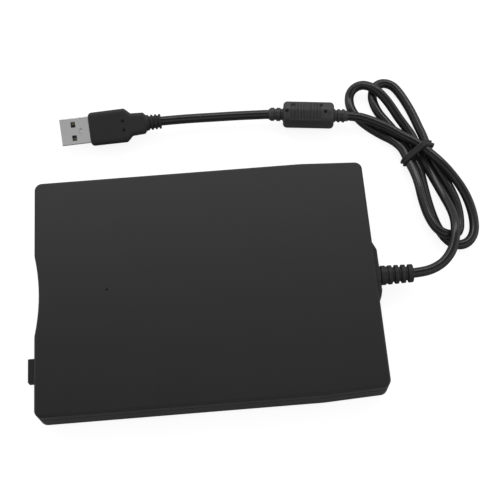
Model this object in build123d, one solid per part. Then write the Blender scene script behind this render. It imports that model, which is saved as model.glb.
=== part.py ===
from build123d import *
import math
import os

# External 3.5 inch floppy disk drive with a captive lead. Sizes in millimetres.
# X runs from the disk slot (-X) to the lead (+X), Y across the drive, Z up from the table.
# The origin is the middle of the drive's footprint on the table.

# the disk that the mechanism is made round
disk_length = 94.0
disk_width = 90.0
disk_thickness = 3.3
hub_setback = 46.0
outer_track = 39.5
inner_track = 24.7

# shared clearances and sheet thicknesses
run_gap = 0.4
fit_gap = 0.15
pin_gap = 0.05
sheet = 0.5
pan_sheet = 0.8
shield_sheet = 0.4

# the height, from the table up
foot_height = 0.8
tray_floor = 1.4
module_seat = 0.2
motor_room = 3.8
disk_drop = 2.2
disk_lift_gap = 0.4
disk_top_gap = 0.5
slide_gap = 0.3
roof_gap = 0.4
roof = 1.6
parting = 12.0
seam = 0.25

# the width, from the disk out
disk_side_gap = 0.3
module_side_gap = 1.6
wall = 2.0

# the length, from the slot back
front_wall = 3.0
front_gap = 0.5
disk_inset = 3.0
module_length = 121.5
board_gap = 1.2
usb_board_length = 12.6
rear_gap = 1.2
taper_length = 26.2
taper_depth = 1.38

# the case's outside
corner_radius = 3.2
top_edge = 1.1
tray_edge = 3.0
seam_edge = 0.3
plate_length = 58.0
plate_width = 40.0
plate_recess = 0.25
recess_depth = 1.8
recess_radius = 87.0
recess_blend = 8.0
boss_length = 2.25
boss_lean = 0.5
boss_round = 0.8
boss_half = 14.2
boss_flat = 9.1
boss_shift = 1.2
boss_low = 4.0

# stations worked out from the sizes above
floor_top = foot_height + tray_floor
pan_low = floor_top + module_seat
pan_top = pan_low + pan_sheet
disk_low = pan_top + motor_room
disk_high = disk_low + disk_drop
rail_top = disk_high - disk_lift_gap
holder_in = disk_high + disk_thickness + disk_top_gap
holder_top = holder_in + sheet
slider_low = holder_top + slide_gap
slider_top = slider_low + sheet
shield_low = slider_top + slide_gap
shield_top = shield_low + shield_sheet
ceiling = shield_top + roof_gap
case_top = ceiling + roof

holder_side = disk_width / 2 + disk_side_gap
holder_out = holder_side + sheet
slider_side = holder_out + run_gap
slider_out = slider_side + sheet
pan_side = slider_out + run_gap
pan_out = pan_side + pan_sheet
case_in = pan_out + module_side_gap
case_half = case_in + wall

case_length = (front_wall + front_gap + module_length + board_gap
               + usb_board_length + rear_gap + wall)
front_x = -case_length / 2
rear_x = case_length / 2
module_front = front_x + front_wall + front_gap
module_rear = module_front + module_length
disk_rear = front_x + disk_inset + disk_length
spindle_x = disk_rear - hub_setback
head_x = spindle_x + outer_track
head_travel = outer_track - inner_track

# the eject slider, the disk holder and their pins
eject_travel = 5.5
slider_front = module_front + 11.5
slider_rear = disk_rear + 4.0
holder_front = module_front + 9.5
holder_rear = disk_rear + 0.1 + sheet
rail_width = 4.0
pin_radius = 0.8
pin_slot_gap = 0.12
pin_z = disk_high + 1.2
pin_xs = (holder_front + 8.0, disk_rear - 8.0)

# the slot, its flap, the eject button and the lamp window
slot_half = disk_width / 2 + 1.0
slot_low = rail_top - 0.05
slot_high = holder_in + 0.05
opening_low = 4.2
opening_high = 14.2
opening_half = case_in - 1.0
button_y = -29.45
button_width = 10.1
button_low = 4.6
button_height = 3.3
button_reach = 4.4
stem_width = 5.0
tab_low = 5.2
lens_y = 33.0
lens_width = 3.2
lens_low = 5.4
lens_height = 1.8

# the spindle motor
rotor_radius = 19.0
rotor_low = 4.3
rotor_plate_low = 6.0
rotor_plate = 0.6
magnet_width = 1.4
hub_radius = 12.0
hub_height = 0.7
shaft_radius = 1.5
bearing_radius = 3.5
centre_pin_radius = 1.95
drive_pin_radius = 1.3
drive_pin_offset = 10.0
motor_board = 0.8
coil_count = 9
tooth_reach = 16.4

# the head carriage, its shafts and its screw
shaft_y = 13.0
shaft_z = 5.4
guide_radius = 1.0
screw_y = 20.0
screw_z = 7.6
screw_radius = 1.25
screw_pitch = 3.0
stepper_radius = 4.0
carriage_rear = head_x + 26.5
carriage_low = pan_top + 0.4
carriage_top = disk_low - 0.2
arm_pivot_x = carriage_rear - 2.0
arm_pivot_z = 12.6
arm_half = 5.0
arm_low = 13.6
arm_sheet = 0.6

# the lead: its exit, the ferrite core and the plug
cord_radius = 2.1
exit_z = 8.0
relief_neck = 3.2
relief_base = 4.2
relief_tip = 3.7
relief_length = 14.35
relief_end = rear_x + boss_length + relief_length
ferrite_half_length = 11.5
ferrite_radius = 5.95
ferrite_middle = (51.5, 81.3, 6.05)
ferrite_turn = -6.4
stub_radius = 2.75
stub_length = 6.5
plug_tip = (-60.8, 81.2, 6.9)
plug_turn = 2.8
plug_roll = 30.0
shell_length = 12.9
shell_width = 12.0
shell_height = 4.5
shell_sheet = 0.3
grip_length = 17.4
grip_width = 15.2
grip_height = 8.0
neck_length = 8.2
neck_half = 4.9
plug_relief_length = 6.8
plug_relief_radius = 3.5


def block(x, y, z):
    """A box between pairs of limits."""
    middle = [sum(pair) / 2 for pair in (x, y, z)]
    return Pos(*middle) * Box(*[pair[1] - pair[0] for pair in (x, y, z)])


def rod(radius, start, end):
    """A round bar from one point to another."""
    start, end = Vector(*start), Vector(*end)
    place = Plane(origin=start, z_dir=end - start).location
    return place * Cylinder(radius, (end - start).length, align=(Align.CENTER, Align.CENTER, Align.MIN))


def ring(outer, inner, x, y, z):
    """An upright tube about (x, y) between two heights."""
    return rod(outer, (x, y, z[0]), (x, y, z[1])) - rod(inner, (x, y, z[0] - 1), (x, y, z[1] + 1))


def slab(face, low, high):
    return Pos(0, 0, low) * extrude(face, amount=high - low)


def mirrored(shape):
    """The shape and its twin across the drive's middle plane."""
    return [shape, mirror(shape, about=Plane.XZ)]


def outline(front, inset, recess=True):
    """The case's plan: a rectangle that narrows at the rear, with a finger recess in its front."""
    near, far = front_x + front, rear_x - inset
    side, bend = case_half - inset, rear_x - taper_length
    narrow = side - taper_depth
    corners = [(near, -side), (bend, -side), (far, -narrow), (far, narrow), (bend, side), (near, side)]
    face = make_face(Polyline(*corners, close=True))
    ends = [v for v in face.vertices() if v.X < near + 0.1 or v.X > far - 0.1]
    face = fillet(ends, max(corner_radius - inset, 0.8))
    if recess:
        middle = front_x + recess_depth - recess_radius
        face -= Pos(middle, 0) * Circle(recess_radius + front)
        lips = [v for v in face.vertices() if v.X < near + 0.2 and abs(v.Y) < side / 2]
        face = fillet(lips, recess_blend)
    return face


post_x = (module_rear + rear_x - wall) / 2
post_y = case_in - 9.0
post_radius = 2.6
screw_hole = 0.9
screw_head = 1.7
module_screw_xs = (module_front + 9.0, module_rear - 12.0)
module_screw_y = pan_side - 5.0
post_low = floor_top + 1.6
pip_setback = 30.1
pip_radius = 0.42
pip_depth = 0.9
lip_height = 1.2
lip_thickness = 0.9
board_screw_y = 25.0
board_low = 5.0
board_thickness = 1.0
usb_board_half = 30.0


def relief_slot(low, high):
    """The upright slot in the rear wall that takes the lead's neck, between two heights."""
    half = relief_neck + pin_gap
    return block((rear_x - wall - 1, rear_x + boss_length + 1), (-half, half), (low, high))


def top_cover():
    """The lid: a shallow shell with a lip that locates in the tray, and two screw posts at the rear."""
    lid = slab(outline(0, 0), parting + seam, case_top)
    lid = fillet(lid.faces().sort_by(Axis.Z)[-1].edges(), top_edge)
    lid = fillet(lid.faces().sort_by(Axis.Z)[0].edges(), seam_edge)
    lid -= slab(outline(front_wall, wall, False), parting, ceiling)
    lip_out, lip_in = wall + fit_gap, wall + fit_gap + lip_thickness
    lip = slab(outline(front_wall + 1, lip_out, False), parting - lip_height, parting + seam)
    lip += slab(outline(front_wall + 1, wall - 0.1, False), parting + seam, parting + seam + 1)
    lip -= slab(outline(front_wall + 2, lip_in, False), parting - 5, parting + 5)
    lid += lip & block((module_front + 20, rear_x), (-case_half, case_half), (0, case_top))
    for y in (-post_y, post_y):
        lid += rod(post_radius, (post_x, y, post_low), (post_x, y, ceiling + 0.2))
        lid -= rod(screw_hole, (post_x, y, 0), (post_x, y, post_low + 6.7))
    lid -= block((rear_x - wall - 2, rear_x - wall), (-relief_base - 0.3, relief_base + 0.3),
                 (parting - lip_height - 1, parting + 0.6))
    tongue = block((rear_x - wall, rear_x), (-relief_neck, relief_neck),
                   (exit_z + relief_neck + pin_gap, parting + seam + 0.5))
    lid += tongue - slab(outline(front_wall, wall, False), 0, parting + 0.1)
    lid -= front_opening(0)
    pip_x = front_x + pip_setback
    lid -= rod(pip_radius, (pip_x, 0, case_top - pip_depth), (pip_x, 0, case_top + 1))
    return [lid]


def front_opening(gap):
    """The window in the case's front that the bezel fills, less a gap all round."""
    return block((front_x - 9, front_x + front_wall), (-opening_half + gap, opening_half - gap),
                 (opening_low + gap, opening_high - gap))


def bottom_cover():
    tray = slab(outline(0, 0), foot_height, parting)
    tray = fillet(tray.faces().sort_by(Axis.Z)[0].edges(), tray_edge)
    tray = fillet(tray.faces().sort_by(Axis.Z)[-1].edges(), seam_edge)
    tray -= slab(RectangleRounded(plate_length, plate_width, 2.0), 0, foot_height + plate_recess)
    half_plan = [(rear_x - 1, boss_half), (rear_x, boss_half), (rear_x + boss_length, boss_flat)]
    plan = half_plan + [(x, -y) for x, y in reversed(half_plan)]
    # its faces lean out towards the foot, and the sleeve has a flat round seat on it
    height = parting - boss_low
    boss = extrude(Pos(0, boss_shift, parting) * make_face(Polyline(*plan, close=True)), amount=-height,
                   taper=-math.degrees(math.atan(boss_lean / height)))
    boss = fillet([e for e in boss.faces().sort_by(Axis.X)[-1].edges() if abs(e.center().Y) > 1
                   or e.center().Z < parting - 1], boss_round)
    boss -= rod(relief_base + fit_gap, (rear_x + boss_length, 0, exit_z), (rear_x + 9, 0, exit_z))
    tray += boss
    tray -= slab(outline(front_wall, wall, False), floor_top, parting + 1)
    tray -= relief_slot(exit_z, parting + 1)
    tray -= rod(relief_neck + pin_gap, (rear_x - 5, 0, exit_z), (rear_x + 9, 0, exit_z))
    tray -= front_opening(0)
    for y in (-post_y, post_y):
        tray += rod(post_radius, (post_x, y, foot_height), (post_x, y, post_low))
        tray -= rod(screw_hole + 0.2, (post_x, y, 0), (post_x, y, 9))
        tray -= rod(screw_head + 0.2, (post_x, y, 0), (post_x, y, floor_top))
    for y in (-board_screw_y, board_screw_y):
        tray += rod(post_radius, (post_x, y, floor_top - 0.2), (post_x, y, board_low))
        tray -= rod(screw_hole, (post_x, y, board_low - 2.0), (post_x, y, board_low + 1))
    for x in module_screw_xs:
        for y in (-module_screw_y, module_screw_y):
            tray += rod(post_radius + 0.6, (x, y, foot_height + 0.3), (x, y, pan_low))
            tray -= rod(screw_hole + 0.2, (x, y, 0), (x, y, 9))
            tray -= rod(screw_head + 0.2, (x, y, 0), (x, y, foot_height + 1.0))
    for x, y in foot_places():
        tray -= rod(foot_radius + 0.1, (x, y, 0), (x, y, foot_height + foot_sink))
    return [tray]


foot_radius = 4.5
foot_sink = 0.5


def foot_places():
    return [(x, y) for x in (front_x + 22.0, rear_x - 24.0) for y in (-case_half + 14.0, case_half - 14.0)]


def rubber_feet():
    feet = []
    for x, y in foot_places():
        foot = rod(foot_radius, (x, y, 0), (x, y, foot_height + foot_sink))
        feet.append(fillet(foot.faces().sort_by(Axis.Z)[0].edges(), 0.4))
    return feet


def cross_screw(x, y, head_low, head_height, head_radius, radius, top):
    """A pan-head screw driven upwards, with a cross in its head."""
    screw = rod(head_radius, (x, y, head_low), (x, y, head_low + head_height))
    screw += rod(radius, (x, y, head_low), (x, y, top))
    for a, b in ((1.0, 0.22), (0.22, 1.0)):
        screw -= block((x - a, x + a), (y - b, y + b), (head_low - 1, head_low + head_height * 0.6))
    return screw


def case_screws():
    return [cross_screw(post_x, y, floor_top - 1.1, 1.1, screw_head, screw_hole - pin_gap, 10.3)
            for y in (-post_y, post_y)]


def small_screws():
    """Four screws up into the mechanism's pan, and two down through the USB board."""
    screws = [cross_screw(x, y, foot_height + 0.2, 0.8, screw_head, screw_hole - pin_gap, pan_top + 1.0)
              for x in module_screw_xs for y in (-module_screw_y, module_screw_y)]
    board_top = board_low + board_thickness
    for y in (-board_screw_y, board_screw_y):
        screw = cross_screw(0, 0, -0.8, 0.8, screw_head, screw_hole - pin_gap, 2.4)
        screws.append(Pos(post_x, y, board_top) * Rot(180, 0, 0) * screw)
    return screws


# ---- the front bezel and what works in it
flap_x = front_x + front_wall + 1.0
flap_z = slot_high + 0.05
flap_half = slot_half - 0.2
flap_pin = 0.4
flap_knuckle = 0.8
flap_sheet = 0.7


def front_bezel():
    plate = slab(outline(0, 0), opening_low + fit_gap, opening_high - fit_gap) & front_opening(fit_gap)
    plate -= block((front_x - 9, front_x + 9), (-slot_half, slot_half), (slot_low, slot_high))
    half = button_width / 2 + 0.2
    plate -= block((front_x - 9, front_x + 9), (button_y - half, button_y + half),
                   (button_low - 0.2, button_low + button_height + 0.2))
    half = lens_width / 2 + pin_gap
    plate -= block((front_x - 9, front_x + 9), (lens_y - half, lens_y + half),
                   (lens_low - pin_gap, lens_low + lens_height + pin_gap))
    back = front_x + front_wall
    ear = block((back - 0.5, flap_x + flap_pin + 0.6), (flap_half + 0.25, flap_half + 0.9),
                (flap_z - flap_pin - 0.6, opening_high - fit_gap))
    ear -= rod(flap_pin + pin_gap, (flap_x, 0, flap_z), (flap_x, case_half, flap_z))
    clip = block((back - 0.5, module_front + 6), (pan_out, pan_out + 0.6), (slot_low - 3, slot_low))
    clip &= block((back - 0.5, module_front + 6), (pan_out, opening_half - fit_gap), (0, 20))
    for piece in mirrored(ear) + mirrored(clip):
        plate += piece
    return [plate]


def door_flap():
    """The dust flap: a leaf that hangs from a knuckle at the top of the slot."""
    leaf = block((flap_x - flap_sheet / 2, flap_x + flap_sheet / 2), (-flap_half, flap_half),
                 (slot_low + 0.25, flap_z))
    leaf += rod(flap_knuckle, (flap_x, -flap_half, flap_z), (flap_x, flap_half, flap_z))
    leaf -= rod(flap_pin + pin_gap, (flap_x, -case_half, flap_z), (flap_x, case_half, flap_z))
    notch = block((flap_x - 2, flap_x + 2), (-5, -1), (flap_z - 1, flap_z + 2))
    return [leaf - notch]


def flap_rod():
    reach = flap_half + 0.9
    return [rod(flap_pin, (flap_x, -reach, flap_z), (flap_x, reach, flap_z))]


def flap_spring():
    """A close-wound torsion spring on the flap's rod."""
    coil = rod(flap_knuckle, (flap_x, -4.7, flap_z), (flap_x, -1.3, flap_z))
    coil -= rod(flap_pin + 0.1, (flap_x, -9, flap_z), (flap_x, 9, flap_z))
    return [coil]


def eject_button():
    top = button_low + button_height
    tip = front_x - button_reach
    cap = block((tip, front_x + 2.0), (button_y - button_width / 2, button_y + button_width / 2),
                (button_low, top))
    cap = fillet([e for e in cap.faces().sort_by(Axis.X)[0].edges()], 0.5)
    stem = block((front_x + 1.5, slider_front + 5.0), (button_y - stem_width / 2, button_y + stem_width / 2),
                 (tab_low + sheet, disk_low - 0.2))
    return [cap + stem]


def led_lens():
    lens = block((front_x - 0.15, module_front + 1.2), (lens_y - lens_width / 2, lens_y + lens_width / 2),
                 (lens_low, lens_low + lens_height))
    return [fillet(lens.faces().sort_by(Axis.X)[0].edges(), 0.14)]


# ---- the mechanism's pan, shield, slider and holder
sensor_y = 39.0
disk_sensor_y = 24.0
sensor_x = module_front + 3.6
sensor_board_thickness = 0.6
sensor_board_half = 43.0
switch_half = 2.5
switch_top = 5.6
plunger_top = 8.0
plunger_radius = 0.8


def pan_slots():
    """Upright slots in the pan's sides for the holder's pins, open at the top."""
    gap = pin_radius + pin_slot_gap
    slots = [block((x - gap, x + gap), (pan_side - 1, pan_out + 1), (pin_z - disk_drop - gap, shield_low + 1))
             for x in pin_xs]
    guides = [block((x - 2.4 - eject_travel, x + 2.4), (pan_side - 1, pan_out + 1),
                    (slider_low - slide_gap, shield_low + 1)) for x in guide_xs]
    return [twin for cut in slots + guides for twin in mirrored(cut)]


guide_xs = (slider_front + 20.0, slider_front + 60.0)


rear_window = (-40.0, 24.0)
floor_window = (20.0, 34.0)
floor_window_x = 34.0
spring_post = 4.0


def chassis_pan():
    pan = block((module_front, module_rear), (-pan_out, pan_out), (pan_low, shield_low))
    pan -= block((module_front - 1, module_rear - pan_sheet), (-pan_side, pan_side),
                 (pan_top, shield_low + 1))
    for cut in pan_slots():
        pan -= cut
    pan -= block((module_rear - 2, module_rear + 1), rear_window, (pan_top + 1.4, shield_low - 2))
    for x in module_screw_xs:
        for y in (-module_screw_y, module_screw_y):
            pan += rod(2.0, (x, y, pan_low), (x, y, pan_top + 1.0))
            pan -= rod(screw_hole, (x, y, 0), (x, y, 9))
    for x in (spindle_x - floor_window_x, spindle_x + floor_window_x):
        pan -= block((x - 3, x + 3), floor_window, (pan_low - 1, pan_top + 0.1))
    y, x = slider_side - spring_inset, module_rear - pan_sheet - spring_post
    pan += block((x, x + 1.0), (y - 1.4, y + 1.4), (pan_top, slider_low - 0.2))
    return [pan]


shield_setback = 3.0
window_length = 32.0
window_width = 14.0
window_y = 24.0
tab_setback = 40.0
tab_length = 8.0
tab_spacing = 60.0


def shield_plate():
    plate = block((module_front + shield_setback, module_rear), (-pan_out, pan_out), (shield_low, shield_top))
    for y in (-window_y, window_y):
        plate -= block((spindle_x - window_length / 2, spindle_x + window_length / 2),
                       (y - window_width / 2, y + window_width / 2), (shield_low - 1, shield_top + 1))
    tab_front = module_front + tab_setback
    tab = block((tab_front, tab_front + tab_length), (pan_out, pan_out + shield_sheet),
                (parting + 0.4, shield_top))
    rear_tab = Pos(tab_spacing, 0, 0) * tab
    for piece in mirrored(tab) + mirrored(rear_tab):
        plate += piece
    return [plate]


def slider_slot(x):
    """A sloping slot in the slider's flange: the pin sinks through it as the slider comes out."""
    gap = pin_radius + pin_slot_gap
    start, end = Vector(x, 0, pin_z), Vector(x + eject_travel, 0, pin_z - disk_drop)
    cut = rod(gap, (x, slider_side - 1, pin_z), (x, slider_out + 1, pin_z))
    cut += rod(gap, (end.X, slider_side - 1, end.Z), (end.X, slider_out + 1, end.Z))
    middle, run = (start + end) / 2, (end - start)
    bar = Box(run.length, slider_out - slider_side + 2, 2 * gap)
    turn = math.degrees(math.atan2(-run.Z, run.X))
    return cut + Pos(middle.X, (slider_side + slider_out) / 2, middle.Z) * Rot(0, turn, 0) * bar


def eject_slider():
    plate = block((slider_front, slider_rear), (-slider_out, slider_out), (slider_low, slider_top))
    plate -= block((spindle_x + 4, slider_rear + 1), (-slider_out + 5, 14), (slider_low - 1, slider_top + 1))
    plate -= block((slider_front + 9, spindle_x - 6), (-30, 30), (slider_low - 1, slider_top + 1))
    flange_low = pin_z - disk_drop - pin_radius - 1.0
    flange = block((slider_front, slider_rear), (slider_side, slider_out), (flange_low, slider_top))
    for x in pin_xs:
        flange -= slider_slot(x)
    for side in mirrored(flange):
        plate += side
    for x in guide_xs:
        tab = block((x - 2, x + 2), (slider_out - 0.1, pan_out - 0.2), (slider_low, slider_top))
        for side in mirrored(tab):
            plate += side
    foot = block((slider_front, slider_front + 6), (-slider_out, -slider_side), (tab_low, flange_low + 0.1))
    foot += block((slider_front, slider_front + 6), (-slider_out, button_y + stem_width / 2),
                  (tab_low, tab_low + sheet))
    hook = block((slider_rear - 1.0, slider_rear), (slider_side - 3.2, slider_out),
                 (slider_low - 0.9, slider_top))
    return [plate + foot + hook]


def slider_spring():
    """A tension spring that draws the slider to the front, drawn as its outer tube."""
    y, z = slider_side - spring_inset, slider_low - 1.1
    return [rod(spring_radius, (slider_rear, y, z), (module_rear - pan_sheet - spring_post, y, z))]


spring_inset = 2.2
spring_radius = 0.9


def disk_holder():
    side = block((holder_front, holder_rear), (-holder_out, holder_out), (rail_top - sheet, holder_top))
    side -= block((holder_front - 1, holder_rear + 1), (-holder_side, holder_side), (rail_top, holder_in))
    side -= block((holder_front - 1, holder_rear + 1), (-holder_side + rail_width, holder_side - rail_width),
                  (0, rail_top + 1))
    side -= block((spindle_x + 18, holder_rear + 1), (-8, 8), (holder_in - 1, holder_top + 1))
    for stop in mirrored(block((holder_rear - sheet, holder_rear), (30, holder_out), (rail_top, holder_top))):
        side += stop
    arc = CenterArc((lever_x, lever_y), lever_reach, lever_rest + 4, -lever_travel - 8)
    side -= slab(SlotArc(arc, 3.2), holder_in - 1, holder_top + 1)
    for x in pin_xs:
        for pin in mirrored(rod(pin_radius, (x, holder_out, pin_z), (x, pan_out - 0.2, pin_z))):
            side += pin
    rivet_top = lever_low + lever_sheet + pin_gap
    side += rod(lever_pin, (lever_x, lever_y, holder_top), (lever_x, lever_y, rivet_top))
    side += rod(lever_pin + 0.8, (lever_x, lever_y, rivet_top), (lever_x, lever_y, rivet_top + 0.2))
    return [side]


lever_pin = 1.25
lever_x = spindle_x + 36.0
lever_y = -36.0
lever_reach = 24.0
lever_rest = 150.0
lever_travel = 80.0
lever_low = holder_top + 0.1
lever_sheet = 0.5


def shutter_lever():
    """The swinging lever whose finger draws the disk's shutter aside."""
    a = math.radians(lever_rest)
    tip = (lever_x + lever_reach * math.cos(a), lever_y + lever_reach * math.sin(a))
    bar = Pos(lever_x, lever_y, lever_low) * Rot(0, 0, lever_rest) * (
        Pos(lever_reach / 2, 0, lever_sheet / 2) * Box(lever_reach, 4.0, lever_sheet))
    bar += rod(3.2, (lever_x, lever_y, lever_low), (lever_x, lever_y, lever_low + lever_sheet))
    bar += rod(2.0, (tip[0], tip[1], lever_low), (tip[0], tip[1], lever_low + lever_sheet))
    bar += rod(1.0, (tip[0], tip[1], disk_high + 0.6), (tip[0], tip[1], lever_low))
    return [bar - rod(lever_pin + pin_gap, (lever_x, lever_y, 0), (lever_x, lever_y, 20))]


# ---- the spindle motor
motor_board_rim = 2.0
motor_tail_half = 8.0
motor_tail = 10.0


def spindle_board():
    high = pan_top + motor_board
    board = rod(rotor_radius + motor_board_rim, (spindle_x, 0, pan_top), (spindle_x, 0, high))
    board += block((spindle_x - motor_tail_half, spindle_x + motor_tail_half),
                   (0, rotor_radius + motor_tail), (pan_top, high))
    return [board - rod(bearing_radius + fit_gap, (spindle_x, 0, 0), (spindle_x, 0, 20))]


def spindle_bearing():
    return [ring(bearing_radius, shaft_radius + pin_gap, spindle_x, 0, (pan_top, rotor_plate_low - 0.3))]


def tooth(step, grow, inner, outer, low, high):
    spoke = block((inner, outer), (-1.0 - grow, 1.0 + grow), (low, high))
    return Pos(spindle_x, 0, 0) * Rot(0, 0, 360 / coil_count * step) * spoke


def stator_core():
    low, high = pan_top + motor_board + 0.3, pan_top + motor_board + 0.9
    core = ring(6.0, bearing_radius, spindle_x, 0, (pan_top + motor_board, high))
    for step in range(coil_count):
        core += tooth(step, 0, 5, tooth_reach, low, high)
        core += tooth(step, 1.2, tooth_reach - 1, tooth_reach, low, high)
    return [core]


def stator_coils():
    low = pan_top + motor_board
    return [tooth(step, 0.9, 9.0, 14.6, low, low + 1.4) - tooth(step, 0, 5, 20, low + 0.3, low + 0.9)
            for step in range(coil_count)]


def spindle_rotor():
    cup = rod(rotor_radius, (spindle_x, 0, rotor_low), (spindle_x, 0, rotor_plate_low + rotor_plate))
    cup -= rod(rotor_radius - 0.6, (spindle_x, 0, 0), (spindle_x, 0, rotor_plate_low))
    cup -= rod(shaft_radius, (spindle_x, 0, 0), (spindle_x, 0, 20))
    return [cup]


def rotor_magnet():
    outer = rotor_radius - 0.6
    return [ring(outer, outer - magnet_width, spindle_x, 0, (rotor_low + 0.1, rotor_low + 1.3))]


def spindle_hub():
    plate = rotor_plate_low + rotor_plate
    hub = rod(hub_radius, (spindle_x, 0, plate), (spindle_x, 0, plate + hub_height))
    hub += rod(centre_pin_radius, (spindle_x, 0, plate), (spindle_x, 0, disk_low + 1.4))
    hub += rod(shaft_radius, (spindle_x, 0, pan_top + 0.2), (spindle_x, 0, plate))
    x = spindle_x + drive_pin_offset * math.cos(0.6)
    y = drive_pin_offset * math.sin(0.6)
    return [hub + rod(drive_pin_radius, (x, y, plate), (x, y, disk_low + 0.9))]


# ---- the head carriage
shaft_reach = 18.0
head_half = (2.4, 3.0)
nut_length = 2.2
nut_half = 2.4
hinge_radius = 0.6


def shaft_bar(y, radius):
    return rod(radius, (head_x - shaft_reach, y, shaft_z), (module_rear - pan_sheet - 1.5, y, shaft_z))


def head_carriage():
    body = block((head_x + 5, carriage_rear), (-16, 16), (carriage_low, carriage_top))
    body += block((head_x - 3, head_x + 6), (-arm_half, arm_half),
                  (pan_top + motor_board + run_gap, carriage_top))
    body -= block((head_x + 8, carriage_rear - 6), (-9, 9), (carriage_low - 1, carriage_low + 1.8))
    for ear in mirrored(block((carriage_rear - 4, carriage_rear), (arm_half + 0.4, arm_half + 2),
                              (carriage_top - 0.1, arm_pivot_z + 1.1))):
        body += ear
    body -= rod(hinge_radius, (arm_pivot_x, -20, arm_pivot_z), (arm_pivot_x, 20, arm_pivot_z))
    nut = block((carriage_rear - nut_length, carriage_rear), (15.9, screw_y + nut_half),
                (screw_z - nut_half, screw_z + nut_half))
    body += nut - rod(screw_radius + pin_gap, (0, screw_y, screw_z), (rear_x, screw_y, screw_z))
    for y in (-shaft_y, shaft_y):
        body -= shaft_bar(y, guide_radius + pin_gap)
    return [body]


def lower_head():
    along, across = head_half
    return [block((head_x - along, head_x + along), (-across, across),
                  (carriage_top, disk_low + disk_thickness / 2 - 0.1))]


def upper_head_arm():
    arm = block((head_x - 3, arm_pivot_x + 1), (-arm_half, arm_half), (arm_low, arm_low + arm_sheet))
    arm -= block((head_x + 6, arm_pivot_x - 5), (-2.4, 2.4), (arm_low - 1, arm_low + 2))
    root = block((arm_pivot_x - 1.2, arm_pivot_x + 1.2), (-arm_half, arm_half),
                 (arm_pivot_z - 1.1, arm_low + 0.1))
    bore = rod(hinge_radius + pin_gap, (arm_pivot_x, -20, arm_pivot_z), (arm_pivot_x, 20, arm_pivot_z))
    return [arm + root - bore]


def upper_head():
    along, across = head_half
    return [block((head_x - along, head_x + along), (-across, across), (arm_low - 0.5, arm_low))]


def arm_pin():
    reach = arm_half + 2
    return [rod(hinge_radius, (arm_pivot_x, -reach, arm_pivot_z), (arm_pivot_x, reach, arm_pivot_z))]


def guide_shafts():
    return [shaft_bar(y, guide_radius) for y in (-shaft_y, shaft_y)]


def shaft_clamps():
    clamps = []
    for y in (-shaft_y, shaft_y):
        for x in (head_x - shaft_reach, module_rear - pan_sheet - 3.5):
            clamp = block((x, x + 2), (y - 2.2, y + 2.2), (pan_top, shaft_z + 0.6 * guide_radius))
            clamps.append(clamp - shaft_bar(y, guide_radius))
    return clamps


screw_front = carriage_rear - nut_length - head_travel - 2.2
stepper_front = carriage_rear + 1.6


def lead_screw():
    screw = rod(screw_radius, (screw_front, screw_y, screw_z), (stepper_front, screw_y, screw_z))
    x = screw_front + 2.4
    while x < stepper_front - 1.0:
        groove = rod(screw_radius + 1, (x, screw_y, screw_z), (x + 0.5, screw_y, screw_z))
        groove -= rod(screw_radius - 0.25, (x - 1, screw_y, screw_z), (x + 2, screw_y, screw_z))
        screw -= groove
        x += screw_pitch / 2
    return [screw]


def screw_frame():
    """The folded frame that holds the screw's front end and the stepper motor."""
    half = 2.4
    ends = (screw_y - half, screw_y + half)
    frame = block((screw_front, screw_front + 1.8), ends, (pan_top, screw_z + 2.2))
    frame += block((stepper_front, stepper_front + 0.6), (screw_y - 5.5, screw_y + 5.5),
                   (pan_top, screw_z + 4.6))
    frame += block((screw_front, stepper_front + 0.6), ends, (pan_top, pan_top + 0.6))
    return [frame - rod(screw_radius + pin_gap, (0, screw_y, screw_z), (rear_x, screw_y, screw_z))]


def stepper_motor():
    rear = module_rear - pan_sheet - 0.3
    return [rod(stepper_radius, (stepper_front + 0.6, screw_y, screw_z), (rear, screw_y, screw_z))]


# ---- boards, sensors and wiring
drive_board_low = pan_top + 0.8
drive_board_top = drive_board_low + 0.8


def drive_board():
    board = block((spindle_x + 24, module_rear - pan_sheet - 1), (-holder_side + 1, -18.5),
                  (drive_board_low, drive_board_top))
    for x in (spindle_x + 28, module_rear - 8):
        board += rod(1.5, (x, -24, pan_top), (x, -24, drive_board_low))
    for x in module_screw_xs:
        board -= rod(2.4, (x, -module_screw_y, 0), (x, -module_screw_y, 9))
    return [board]


chip_side = 11.0
chip_y = -30.5
chip_setback = 18.2


def drive_controller():
    front = module_rear - chip_setback - chip_side
    return [block((front, front + chip_side), (chip_y - chip_side / 2, chip_y + chip_side / 2),
                  (drive_board_top, drive_board_top + 1.4))]


def ribbon_connectors():
    """The two sockets that the ribbon joins: one on each board."""
    rear = module_rear - pan_sheet - 1
    front, top = module_rear + board_gap, board_low + board_thickness
    return [block((rear - 4, rear), (-ribbon_far, -ribbon_near), (drive_board_top, drive_board_top + 1.8)),
            block((front + 1.0, front + 4), (-ribbon_far, -ribbon_near), (top, top + 1.8))]


ribbon_near = 22.5
ribbon_far = 35.5


def ribbon_cable():
    """The flat ribbon from the drive's board to the USB board, over the pan's rear wall."""
    low, high = drive_board_top + 0.9, board_low + board_thickness + 1.0
    start, end = module_rear - pan_sheet - 1, module_rear + board_gap + 1.0
    path = [(start, low), (start + 1.2, low + 0.8), (end - 1.2, high + 0.4), (end, high)]
    strip = make_face(Polyline(*path, *[(x, z + 0.25) for x, z in reversed(path)], close=True))
    side = Plane(origin=(0, -ribbon_near - 0.5, 0), x_dir=(1, 0, 0), z_dir=(0, -1, 0))
    return [side.location * extrude(strip, amount=ribbon_far - ribbon_near - 1.0)]


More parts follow.
